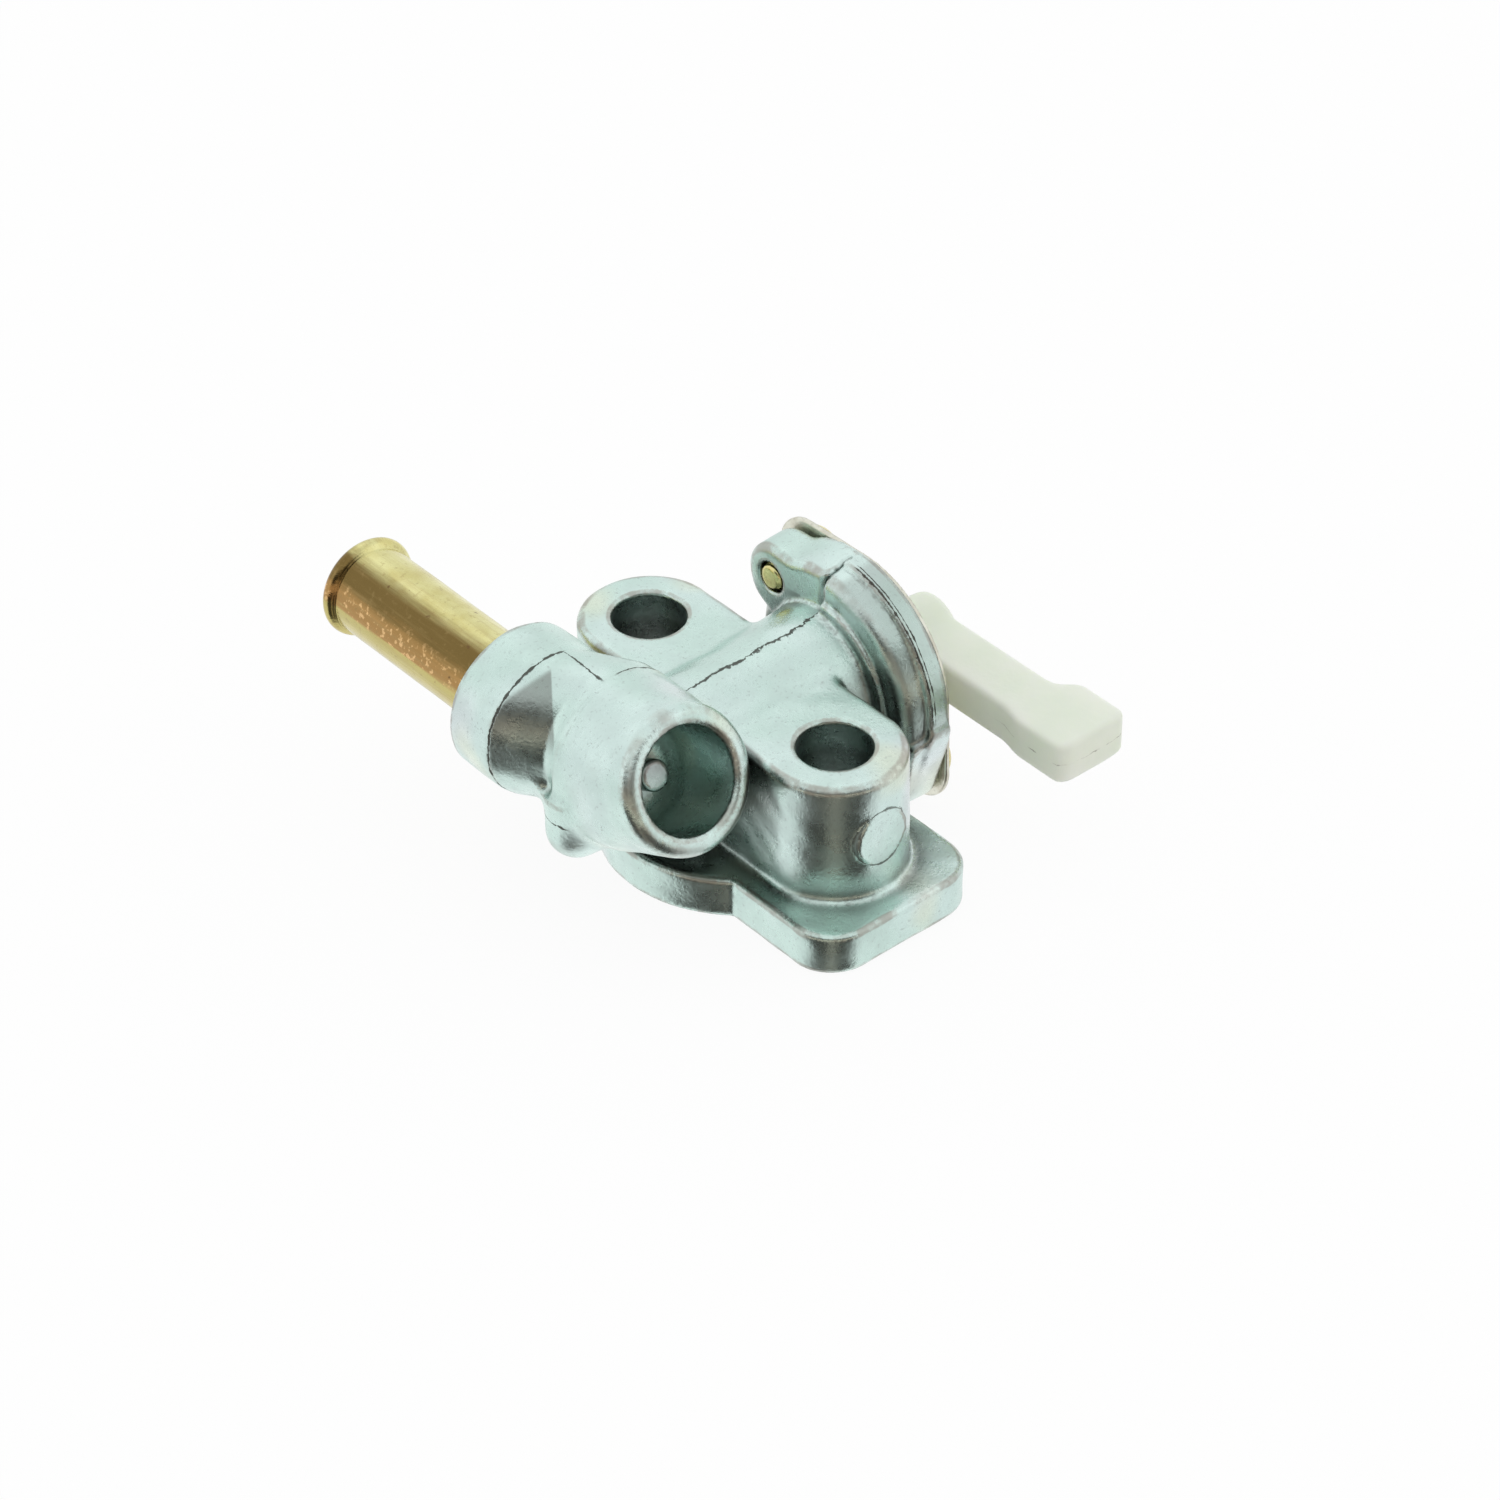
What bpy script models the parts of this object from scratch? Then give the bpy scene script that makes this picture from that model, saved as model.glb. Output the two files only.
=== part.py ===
"""Fuel tap: a die-cast body that bolts to a tank, a brass hose spigot and a nylon lever on a ported seal.

Axes: X along the valve axis toward the lever, Y along the line of the two bolt holes toward the spigot, Z up.
The origin is the middle of the flange, on its mounting face.
All driving sizes are in millimetres and are turned into metres when a mesh is made.
"""
import math

import bmesh
import bpy
from mathutils import Matrix, Vector

MM = 0.001
GAP = 0.3
WELD = 1e-6

# Flange
FLANGE_THICK = 4.0
DISC_R = 12.6
LOBE_HALF_WIDTH = 8.7
LOBE_REACH = 21.0
LOBE_CORNER_R = 4.0
FLANGE_EDGE = 0.5

# Bolt bosses
BOLT_Y = 12.0
BOLT_HOLE_R = 3.25
BOSS_R = 6.2
BOSS_TOP = 15.7
BOSS_EDGE = 0.8

# Flat ejector pad on the front of the boss under the lever
PAD_X = -0.15
PAD_Z = 9.85
PAD_R = 2.75
PAD_FRONT = 18.28

# Barrel and valve cup, on the valve axis
AXIS_Z = 11.1
BARREL_START = -7.4
BARREL_R = 6.6
BARREL_END_R = 7.05
CUP_BACK = 9.2
BAND_BACK = 11.3
CUP_FRONT = 13.5
BAND_R = 11.4
BAND_STEP = 1.0
CUP_R = BAND_R - BAND_STEP
CUP_EDGE = 1.1
CUP_WALL = 2.8
CAVITY_R = BAND_R - CUP_WALL
CAVITY_FLOOR = 10.3

# Screw ears
EAR_DISTANCE = BAND_R - 1.68
EAR_ANGLE = math.radians(43.3)
EAR_R = 3.2
EAR_BACK = 9.5
SCREW_R = 1.5
SCREW_TIP_R = 1.15
SCREW_HEAD_R = 2.75
SCREW_HEAD_H = 1.65

# Gallery, collar and spigot, all along Y and higher than the valve axis
PIPE_Z = 15.4
GALLERY_X = -12.88
GALLERY_R = 6.62
GALLERY_CORNER_R = 4.3
GALLERY_START = -5.65
GALLERY_END = 0.9
COLLAR_X = -15.43
COLLAR_R = 6.87
COLLAR_BACK = 6.0
COLLAR_END = 11.25
COLLAR_EDGE = 0.6
COLLAR_STEP = 0.07
SHOULDER_SLOPE = 0.7
SHOULDER_LOW = -0.3
TUBE_R = 4.06
TUBE_WALL = 0.93
TUBE_DEPTH = 5.1
TUBE_END = 32.25
BEAD_R = 4.55
PASSAGE_R = 1.4
PASSAGE_MEET_X = -1.5

# Blind socket, tilted up from the -Y direction
SOCKET_TILT = math.radians(25)
SOCKET_X = -12.93
SOCKET_SIDE = 11.42
SOCKET_FACE = 15.22
SOCKET_OUTER_R = 6.43
SOCKET_EDGE = 0.9
SOCKET_R = 4.6
SOCKET_DEPTH = 8.8
SOCKET_TAIL = 11.0
STUD_R = 1.38
STUD_HEIGHT = 4.0

# Webs that tie the gallery and collar to the barrel and the bosses
NECK_LOW = 6.4
NECK_TOP = 14.9
NECK_HALF_Y = 5.2
BRIDGE_Y = (2.6, 9.4)

# Fuel ways inside the body
PORT_TO_WALL = 4.6
PORT_CIRCLE_R = CAVITY_R - PORT_TO_WALL
PORT_R = 1.3
INLET_R = 1.7
MAIN_INLET_X = -2.4
RESERVE_INLET_X = 4.2

# Pieces inside the cup
SEAL_THICK = 1.5
SEAL_R = CAVITY_R - 0.4
RING_ROOM = 1.4
ROTOR_R = CAVITY_R - RING_ROOM
ROTOR_BACK = CAVITY_FLOOR + GAP + SEAL_THICK + GAP
ROTOR_FRONT = CUP_FRONT
RING_SECTION_R = 0.5
RING_R = (CAVITY_R + ROTOR_R) / 2
PLATE_THICK = 0.5
PLATE_BACK = CUP_FRONT + GAP
PLATE_FRONT = PLATE_BACK + PLATE_THICK
PLATE_R = BAND_R - 0.8
PLATE_EAR_R = 3.75
DOME_R = 6.6
DOME_RISE = 1.4
NECK_R = 3.15
WASHER_IN_R = 4.0
WASHER_OUT_R = 5.25
WASHER_THICK = 0.25
WASHER_WAVE = 0.35

# Lever handle
BAR_BACK = 16.5
BAR_FRONT = 22.0
TIP_FRONT = 23.7
BAR_THICK = 4.0
BAR_REACH = 22.6
TIP_START = 15.3
BAR_EDGE = 0.6

X_AXIS = Vector((1, 0, 0))
Y_AXIS = Vector((0, 1, 0))
Z_AXIS = Vector((0, 0, 1))
SOCKET_OUT = Vector((0, -math.cos(SOCKET_TILT), math.sin(SOCKET_TILT)))
SOCKET_UP = Vector((0, math.sin(SOCKET_TILT), math.cos(SOCKET_TILT)))


def frame(origin, side, up):
    """Axes for a lathe or prism: side and up span the section, their cross product is the way it is raised."""
    side = Vector(side).normalized()
    up = Vector(up).normalized()
    along = side.cross(up)
    matrix = Matrix((side, up, along)).transposed().to_4x4()
    matrix.translation = Vector(origin)
    return matrix


def along_x(x=0.0, y=0.0, z=0.0):
    return frame((x, y, z), Y_AXIS, Z_AXIS)


def along_y(x=0.0, y=0.0, z=0.0):
    return frame((x, y, z), Z_AXIS, X_AXIS)


def along_z(x=0.0, y=0.0, z=0.0):
    return frame((x, y, z), X_AXIS, Y_AXIS)


def mesh_object(name, bm, place):
    """Turn a bmesh in millimetres into an object in metres with its faces pointing out."""
    bmesh.ops.transform(bm, matrix=Matrix.Scale(MM, 4) @ place, verts=bm.verts)
    bmesh.ops.recalc_face_normals(bm, faces=bm.faces)
    mesh = bpy.data.meshes.new(name)
    bm.to_mesh(mesh)
    bm.free()
    obj = bpy.data.objects.new(name, mesh)
    bpy.context.scene.collection.objects.link(obj)
    return obj


def prism(name, place, rings):
    """Closed solid through a stack of rings, each a height and a list of section points."""
    bm = bmesh.new()
    loops = []
    for height, points in rings:
        loops.append([bm.verts.new((p[0], p[1], height)) for p in points])
    count = len(loops[0])
    for low, high in zip(loops, loops[1:]):
        for i in range(count):
            j = (i + 1) % count
            bm.faces.new((low[i], low[j], high[j], high[i]))
    bm.faces.new(loops[0][::-1])
    bm.faces.new(loops[-1])
    return mesh_object(name, bm, place)


def circle(radius, count, x=0.0, y=0.0, turn=0.0):
    step = 2 * math.pi / count
    return [(x + radius * math.cos(turn + step * i), y + radius * math.sin(turn + step * i)) for i in range(count)]


def lathe(name, place, profile, count):
    """Closed solid of rings given as height and radius, with flat ends."""
    return prism(name, place, [(h, circle(r, count)) for h, r in profile])


def ring_solid(name, place, profile, count):
    """Closed ring turned from a closed profile of height and radius points that stay off the axis."""
    bm = bmesh.new()
    loops = []
    for i in range(count):
        angle = 2 * math.pi * i / count
        c, s = math.cos(angle), math.sin(angle)
        loops.append([bm.verts.new((r * c, r * s, h)) for h, r in profile])
    size = len(profile)
    for i in range(count):
        a, b = loops[i], loops[(i + 1) % count]
        for k in range(size):
            m = (k + 1) % size
            bm.faces.new((a[k], b[k], b[m], a[m]))
    return mesh_object(name, bm, place)


def inset(points, distance):
    """Move each point of a counter-clockwise outline inward by the same distance from both of its edges."""
    out = []
    count = len(points)
    for i in range(count):
        a = Vector(points[i - 1])
        b = Vector(points[i])
        c = Vector(points[(i + 1) % count])
        n1 = Vector((a.y - b.y, b.x - a.x)).normalized()
        n2 = Vector((b.y - c.y, c.x - b.x)).normalized()
        n = n1 + n2
        out.append(tuple(b + n * (distance / (1 + n1.dot(n2)))))
    return out


def rounded_rings(points, low, high, edge, steps=3, both=False):
    """Rings of a straight wall whose top edge, and the bottom edge if asked, is rounded."""
    rings = []
    if both:
        for i in range(steps + 1):
            a = math.pi / 2 * i / steps
            rings.append((low + edge * (1 - math.sin(a)), inset(points, edge * (1 - math.cos(a)))))
        rings = rings[::-1]
    else:
        rings.append((low, points))
    for i in range(steps + 1):
        a = math.pi / 2 * i / steps
        rings.append((high - edge * (1 - math.sin(a)), inset(points, edge * (1 - math.cos(a)))))
    return rings


def rounded_box(half_x, half_y, radius, steps=6, x=0.0, y=0.0):
    points = []
    corners = ((1, 1, 0), (-1, 1, 90), (-1, -1, 180), (1, -1, 270))
    for sx, sy, start in corners:
        for i in range(steps + 1):
            a = math.radians(start + 90 * i / steps)
            points.append((x + sx * (half_x - radius) + radius * math.cos(a),
                           y + sy * (half_y - radius) + radius * math.sin(a)))
    return points


def cut(target, cutters, operation='DIFFERENCE'):
    """Apply one exact boolean per cutter to the target, then remove the cutter."""
    for cutter in cutters:
        cutter.display_type = 'WIRE'
        cutter.hide_render = True
        modifier = target.modifiers.new(operation.title(), 'BOOLEAN')
        modifier.operation = operation
        modifier.solver = 'EXACT'
        modifier.object = cutter
        bpy.context.view_layer.update()
        graph = bpy.context.evaluated_depsgraph_get()
        result = bpy.data.meshes.new_from_object(target.evaluated_get(graph))
        target.modifiers.clear()
        old = target.data
        target.data = result
        bpy.data.meshes.remove(old)
        used = cutter.data
        bpy.data.objects.remove(cutter)
        bpy.data.meshes.remove(used)
    return target


def join(target, others):
    return cut(target, others, 'UNION')


def material(name, color, metallic, roughness):
    mat = bpy.data.materials.new(name)
    mat.use_nodes = True
    shader = mat.node_tree.nodes['Principled BSDF']
    shader.inputs['Base Color'].default_value = (*color, 1)
    shader.inputs['Metallic'].default_value = metallic
    shader.inputs['Roughness'].default_value = roughness
    mat.diffuse_color = (*color, 1)
    return mat


def finish(obj, name, mat, origin=(0, 0, 0), smooth_angle=32):
    """Weld, name and shade a piece, and set its origin without moving its surface."""
    bm = bmesh.new()
    bm.from_mesh(obj.data)
    bmesh.ops.remove_doubles(bm, verts=bm.verts, dist=WELD)
    bmesh.ops.dissolve_degenerate(bm, dist=WELD, edges=bm.edges)
    bmesh.ops.delete(bm, geom=[e for e in bm.edges if not e.link_faces], context='EDGES')
    bmesh.ops.delete(bm, geom=[v for v in bm.verts if not v.link_edges], context='VERTS')
    place = Vector(origin) * MM
    bmesh.ops.translate(bm, vec=-place, verts=bm.verts)
    bmesh.ops.triangulate(bm, faces=[f for f in bm.faces if len(f.verts) > 4])
    bm.to_mesh(obj.data)
    bm.free()
    obj.location = place
    obj.name = name
    obj.data.name = name
    obj.data.materials.clear()
    obj.data.materials.append(mat)
    for face in obj.data.polygons:
        face.use_smooth = True
    obj.data.set_sharp_from_angle(angle=math.radians(smooth_angle))
    return obj


def ear_centre(side):
    """Centre of an ear in Y and Z; side is 1 for the upper ear and -1 for the lower one."""
    return (side * EAR_DISTANCE * math.cos(EAR_ANGLE),
            AXIS_Z + side * EAR_DISTANCE * math.sin(EAR_ANGLE))


def ear_outline(side, round_r, ear_r, inner_r, steps=8):
    """Ear round its screw with straight sides tangent to the round cup, closed inside at inner_r."""
    lean = math.acos((round_r - ear_r) / EAR_DISTANCE)
    middle = EAR_ANGLE + (math.pi if side < 0 else 0)
    centre = (EAR_DISTANCE * math.cos(middle), EAR_DISTANCE * math.sin(middle))
    points = []
    for i in range(steps + 1):
        a = middle + lean - 2 * lean * i / steps
        points.append((inner_r * math.cos(a), inner_r * math.sin(a)))
    points.append((round_r * math.cos(middle - lean), round_r * math.sin(middle - lean)))
    for i in range(steps + 1):
        a = middle - lean + 2 * lean * i / steps
        points.append((centre[0] + ear_r * math.cos(a), centre[1] + ear_r * math.sin(a)))
    points.append((round_r * math.cos(middle + lean), round_r * math.sin(middle + lean)))
    return points


def flange_outline():
    """Disc with a rectangular lobe to each side, as one counter-clockwise outline."""
    meet = math.sqrt(DISC_R ** 2 - LOBE_HALF_WIDTH ** 2)
    half = math.atan2(meet, LOBE_HALF_WIDTH)
    points = []
    for start in (0, math.pi):
        for i in range(17):
            a = start - half + 2 * half * i / 16
            points.append((DISC_R * math.cos(a), DISC_R * math.sin(a)))
        sign = 1 if start == 0 else -1
        for corner in (0, 90):
            cx = sign * (LOBE_HALF_WIDTH - LOBE_CORNER_R) * (1 if corner == 0 else -1)
            cy = sign * (LOBE_REACH - LOBE_CORNER_R)
            for i in range(7):
                a = start + math.radians(corner + 90 * i / 6)
                points.append((cx + LOBE_CORNER_R * math.cos(a), cy + LOBE_CORNER_R * math.sin(a)))
    return points


def stadium(radius, half_length, steps=20):
    points = []
    for sign, start in ((1, 0), (-1, 180)):
        for i in range(steps + 1):
            a = math.radians(start + 180 * i / steps)
            points.append((radius * math.cos(a), sign * half_length + radius * math.sin(a)))
    return points


def gallery_section(radius, grow=0.0):
    """Section of the gallery: a round top with straight flanks and a rounded floor. First axis is Z, second X."""
    corner = GALLERY_CORNER_R
    r = radius + grow
    points = []
    for i in range(25):
        a = math.radians(-90 + 180 * i / 24)
        points.append((r * math.cos(a), r * math.sin(a)))
    for i in range(7):
        a = math.radians(90 + 90 * i / 6)
        points.append((-r + corner + corner * math.cos(a), r - corner + corner * math.sin(a)))
    for i in range(7):
        a = math.radians(180 + 90 * i / 6)
        points.append((-r + corner + corner * math.cos(a), -r + corner + corner * math.sin(a)))
    return points


def convex(name, place, clouds):
    """Convex solid round several rings of points given as height and outline."""
    bm = bmesh.new()
    for height, points in clouds:
        for p in points:
            bm.verts.new((p[0], p[1], height))
    bmesh.ops.convex_hull(bm, input=bm.verts)
    loose = [v for v in bm.verts if not v.link_faces]
    bmesh.ops.delete(bm, geom=loose, context='VERTS')
    return mesh_object(name, bm, place)


def socket_frame(distance=0.0):
    """Frame of the blind socket: raised outward, distance measured along its axis from the middle height."""
    centre = Vector((SOCKET_X, 0, 0)) + SOCKET_OUT * distance + SOCKET_UP * SOCKET_SIDE
    return frame(centre, X_AXIS, SOCKET_UP)


def edge_profile(low, high, radius, edge, steps=4):
    profile = [(low, radius)]
    for i in range(steps + 1):
        a = math.pi / 2 * i / steps
        profile.append((high - edge * (1 - math.sin(a)), radius - edge * (1 - math.cos(a))))
    return profile


def make_body(mat):
    plate = prism('body', along_z(), rounded_rings(flange_outline(), 0, FLANGE_THICK, FLANGE_EDGE))
    bosses = prism('bosses', along_z(),
                   rounded_rings(stadium(BOSS_R, BOLT_Y), FLANGE_THICK - 1, BOSS_TOP, BOSS_EDGE, 4))
    barrel = lathe('barrel', along_x(z=AXIS_Z), [(BARREL_START, BARREL_R), (CUP_BACK + 1, BARREL_END_R)], 64)
    web = prism('web', along_z(), [(FLANGE_THICK - 1, rounded_box(4.6, 4.0, 1.0, 3, 4.0)),
                                   (AXIS_Z - 2, rounded_box(4.6, 4.0, 1.0, 3, 4.0))])
    cup_profile = [(CUP_BACK + CUP_EDGE * (1 - math.sin(a)), CUP_R - CUP_EDGE * (1 - math.cos(a)))
                   for a in [math.pi / 2 * i / 4 for i in range(4, -1, -1)]]
    cup = lathe('cup', along_x(z=AXIS_Z), cup_profile + [(BAND_BACK + 1, CUP_R + 0.2)], 72)
    band = lathe('band', along_x(z=AXIS_Z), [(BAND_BACK, BAND_R), (CUP_FRONT, BAND_R)], 72)
    pad = lathe('pad', frame((PAD_X, -PAD_FRONT, PAD_Z), X_AXIS, Z_AXIS), [(-2, PAD_R), (0, PAD_R)], 36)
    join(plate, [bosses, pad, web, barrel, cup, band])
    for side in (1, -1):
        outline = ear_outline(side, BAND_R, EAR_R, 7.5)
        join(plate, [prism('ear', along_x(z=AXIS_Z), [(EAR_BACK, outline), (CUP_FRONT, outline)])])

    gallery = convex('gallery', along_y(GALLERY_X, 0, PIPE_Z),
                     [(GALLERY_END, gallery_section(GALLERY_R)), (GALLERY_START, gallery_section(GALLERY_R))])
    shell = lathe('shell', socket_frame(),
                  edge_profile(SOCKET_FACE - SOCKET_TAIL, SOCKET_FACE, SOCKET_OUTER_R, SOCKET_EDGE), 56)
    lens = lathe('lens', along_y(GALLERY_X, 0, PIPE_Z),
                 [(GALLERY_END - 1, GALLERY_R), (COLLAR_BACK + 0.6, GALLERY_R)], 48)
    collar_long = lathe('collar_long', along_y(COLLAR_X, 0, PIPE_Z),
                        [(GALLERY_END - 3, COLLAR_R - COLLAR_STEP), (COLLAR_BACK + 1, COLLAR_R - COLLAR_STEP)], 64)
    cut(lens, [collar_long], 'INTERSECT')
    shoulder = lathe('shoulder', along_y(COLLAR_X, 0, PIPE_Z),
                     [(SHOULDER_LOW, COLLAR_R - SHOULDER_SLOPE * (COLLAR_BACK - SHOULDER_LOW)),
                      (COLLAR_BACK, COLLAR_R - COLLAR_STEP), (COLLAR_BACK + 1, COLLAR_R - COLLAR_STEP - 0.1)], 60)
    collar = lathe('collar', along_y(COLLAR_X, 0, PIPE_Z),
                   edge_profile(COLLAR_BACK, COLLAR_END, COLLAR_R, COLLAR_EDGE), 64)
    neck = prism('neck', along_z(),
                 [(z, rounded_box(4.2, NECK_HALF_Y, 1.0, 3, -8.4, 0)) for z in (NECK_LOW, NECK_TOP)])
    bridge_y = sum(BRIDGE_Y) / 2
    bridge_half = BRIDGE_Y[1] - bridge_y
    bridge = convex('bridge', along_x(),
                    [(-13.0, rounded_box(bridge_half, 3.9, 1.2, 3, bridge_y, 13.3)),
                     (-5.0, rounded_box(bridge_half, 3.2, 1.2, 3, bridge_y, 11.2))])
    lug = lathe('lug', along_z(-17.34, 0.45, 0),
                [(6.1, 1.2), (6.6, 2.0), (7.5, 2.45), (8.9, 2.65), (12.4, 2.65)], 32)
    join(plate, [neck, gallery, shell, lens, shoulder, collar, bridge, lug])

    cuts = [prism('under', along_z(), [(-3, circle(60, 8)), (0, circle(60, 8))])]
    for side in (1, -1):
        cuts.append(lathe('bolt_hole', along_z(0, side * BOLT_Y), [(-2, BOLT_HOLE_R), (20, BOLT_HOLE_R)], 40))
        y, z = ear_centre(side)
        cuts.append(lathe('screw_hole', along_x(0, y, z), [(5, SCREW_R + GAP), (20, SCREW_R + GAP)], 24))
    cuts.append(lathe('cavity', along_x(z=AXIS_Z), [(CAVITY_FLOOR, CAVITY_R), (20, CAVITY_R)], 72))
    cuts.append(ring_solid('socket', socket_frame(),
                           [(SOCKET_FACE - SOCKET_DEPTH, STUD_R), (SOCKET_FACE - SOCKET_DEPTH, SOCKET_R),
                            (SOCKET_FACE - 0.5, SOCKET_R), (SOCKET_FACE, SOCKET_R + 0.45),
                            (SOCKET_FACE + 1, SOCKET_R + 1.35), (SOCKET_FACE + 1, STUD_R)], 48))
    cuts.append(lathe('socket_core', socket_frame(),
                      [(SOCKET_FACE - SOCKET_DEPTH + STUD_HEIGHT, STUD_R + 0.6),
                       (SOCKET_FACE + 1.5, STUD_R + 0.6)], 24))
    bore_depth = COLLAR_END - TUBE_DEPTH
    cuts.append(lathe('tube_bore', along_y(COLLAR_X, 0, PIPE_Z),
                      [(bore_depth, TUBE_R + GAP), (COLLAR_END + 3, TUBE_R + GAP)], 48))
    drill_start = Vector((COLLAR_X, bore_depth, PIPE_Z))
    drill = Vector((PASSAGE_MEET_X, PORT_CIRCLE_R, AXIS_Z)) - drill_start
    drill_side = drill.cross(Z_AXIS)
    drill_frame = frame(drill_start, drill_side, drill.cross(drill_side))
    cuts.append(lathe('outlet_way', drill_frame, [(-0.9, PASSAGE_R), (drill.length + 0.4, PASSAGE_R)], 28))
    cuts.append(lathe('outlet_port', along_x(0, PORT_CIRCLE_R, AXIS_Z),
                      [(PASSAGE_MEET_X - 1.1, PORT_R), (CAVITY_FLOOR + 1, PORT_R)], 24))
    for x, z in ((MAIN_INLET_X, AXIS_Z + PORT_CIRCLE_R), (RESERVE_INLET_X, AXIS_Z - PORT_CIRCLE_R)):
        cuts.append(lathe('inlet', along_z(x, 0), [(-1, INLET_R), (z, INLET_R)], 28))
        cuts.append(lathe('inlet_port', along_x(0, 0, z), [(x, PORT_R), (CAVITY_FLOOR + 1, PORT_R)], 24))
    cut(plate, cuts)
    return finish(plate, 'body', mat)


def make_tube(mat):
    inner = TUBE_R - TUBE_WALL
    start = COLLAR_END - TUBE_DEPTH + GAP
    bead = (TUBE_END - 2.6, TUBE_END)
    middle = (bead[0] + bead[1]) / 2 + 0.2
    profile = [(start, inner), (TUBE_END - 0.5, inner), (TUBE_END, inner + 0.4)]
    profile += [(TUBE_END, TUBE_R - 0.1), (TUBE_END - 0.3, BEAD_R - 0.15), (middle + 0.3, BEAD_R),
                (middle - 0.4, BEAD_R - 0.12), (bead[0] + 0.25, TUBE_R + 0.02), (bead[0] - 0.2, TUBE_R)]
    profile += [(start + 0.4, TUBE_R), (start, TUBE_R - 0.3)]
    tube = ring_solid('tube', along_y(COLLAR_X, 0, PIPE_Z), profile, 48)
    return finish(tube, 'outlet_tube', mat)


def make_seal(mat):
    low = CAVITY_FLOOR + GAP
    seal = lathe('seal', along_x(z=AXIS_Z), [(low, SEAL_R), (low + SEAL_THICK, SEAL_R)], 56)
    holes = []
    for k in range(4):
        y = PORT_CIRCLE_R * math.cos(math.pi / 2 * k)
        z = PORT_CIRCLE_R * math.sin(math.pi / 2 * k)
        holes.append(lathe('port', along_x(0, y, AXIS_Z + z), [(low - 1, PORT_R + 0.1), (20, PORT_R + 0.1)], 24))
    return finish(cut(seal, holes), 'valve_seal', mat)


def make_ring(mat):
    section = []
    for i in range(10):
        a = 2 * math.pi * i / 10
        section.append((ROTOR_BACK + 0.5 + (RING_SECTION_R - 0.05) * math.cos(a),
                        RING_R + (RING_SECTION_R - 0.1) * math.sin(a)))
    ring = ring_solid('ring', along_x(z=AXIS_Z), section, 56)
    return finish(ring, 'cup_ring', mat)


def make_washer(mat):
    middle = (ROTOR_FRONT + PLATE_BACK + DOME_RISE) / 2
    bm = bmesh.new()
    count = 60
    loops = []
    for i in range(count):
        a = 2 * math.pi * i / count
        lift = WASHER_WAVE * math.cos(3 * a)
        loops.append([bm.verts.new((r * math.cos(a), r * math.sin(a), middle + lift + h))
                      for h, r in ((-WASHER_THICK / 2, WASHER_IN_R), (-WASHER_THICK / 2, WASHER_OUT_R),
                                   (WASHER_THICK / 2, WASHER_OUT_R), (WASHER_THICK / 2, WASHER_IN_R))])
    for i in range(count):
        a, b = loops[i], loops[(i + 1) % count]
        for k in range(4):
            m = (k + 1) % 4
            bm.faces.new((a[k], b[k], b[m], a[m]))
    return finish(mesh_object('washer', bm, along_x(z=AXIS_Z)), 'wave_washer', mat)


def make_plate(mat):
    hole = NECK_R + GAP
    top = PLATE_FRONT + DOME_RISE
    profile = [(PLATE_BACK, PLATE_R), (PLATE_FRONT, PLATE_R), (PLATE_FRONT, DOME_R), (top - 0.3, DOME_R - 0.25),
               (top, DOME_R - 0.55), (top, hole), (top - PLATE_THICK, hole),
               (top - PLATE_THICK, DOME_R - PLATE_THICK - 0.5), (PLATE_BACK, DOME_R - PLATE_THICK)]
    plate = ring_solid('plate', along_x(z=AXIS_Z), profile, 64)
    for side in (1, -1):
        outline = ear_outline(side, PLATE_R, PLATE_EAR_R, DOME_R + 0.6)
        join(plate, [prism('ear', along_x(z=AXIS_Z), [(PLATE_BACK, outline), (PLATE_FRONT, outline)])])
        y, z = ear_centre(side)
        cut(plate, [lathe('hole', along_x(0, y, z), [(10, SCREW_R + GAP), (20, SCREW_R + GAP)], 24)])
    return finish(plate, 'retaining_plate', mat)


def make_screw(name, side, mat):
    y, z = ear_centre(side)
    under = PLATE_FRONT + GAP
    tip = EAR_BACK - 0.15
    profile = [(tip, SCREW_TIP_R), (tip + 0.35, SCREW_R), (under, SCREW_R), (under, SCREW_HEAD_R - 0.15)]
    profile += [(under + 0.2, SCREW_HEAD_R), (under + 0.75, SCREW_HEAD_R - 0.05),
                (under + 1.25, SCREW_HEAD_R - 0.45), (under + 1.55, SCREW_HEAD_R - 1.1),
                (under + SCREW_HEAD_H, 0.5)]
    screw = lathe('screw', along_x(0, y, z), profile, 32)
    arms = []
    for turn in (0.35, 0.35 + math.pi / 2):
        side_dir = Vector((0, math.cos(turn), math.sin(turn)))
        up_dir = X_AXIS.cross(side_dir)
        place = frame((under + 0.55, y, z), side_dir, up_dir)
        arms.append(prism('slot', place, [(0, [(0.9, 0.2), (-0.9, 0.2), (-0.9, -0.2), (0.9, -0.2)]),
                                          (3, [(1.6, 0.42), (-1.6, 0.42), (-1.6, -0.42), (1.6, -0.42)])]))
    return finish(cut(screw, arms), name, mat)


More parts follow.
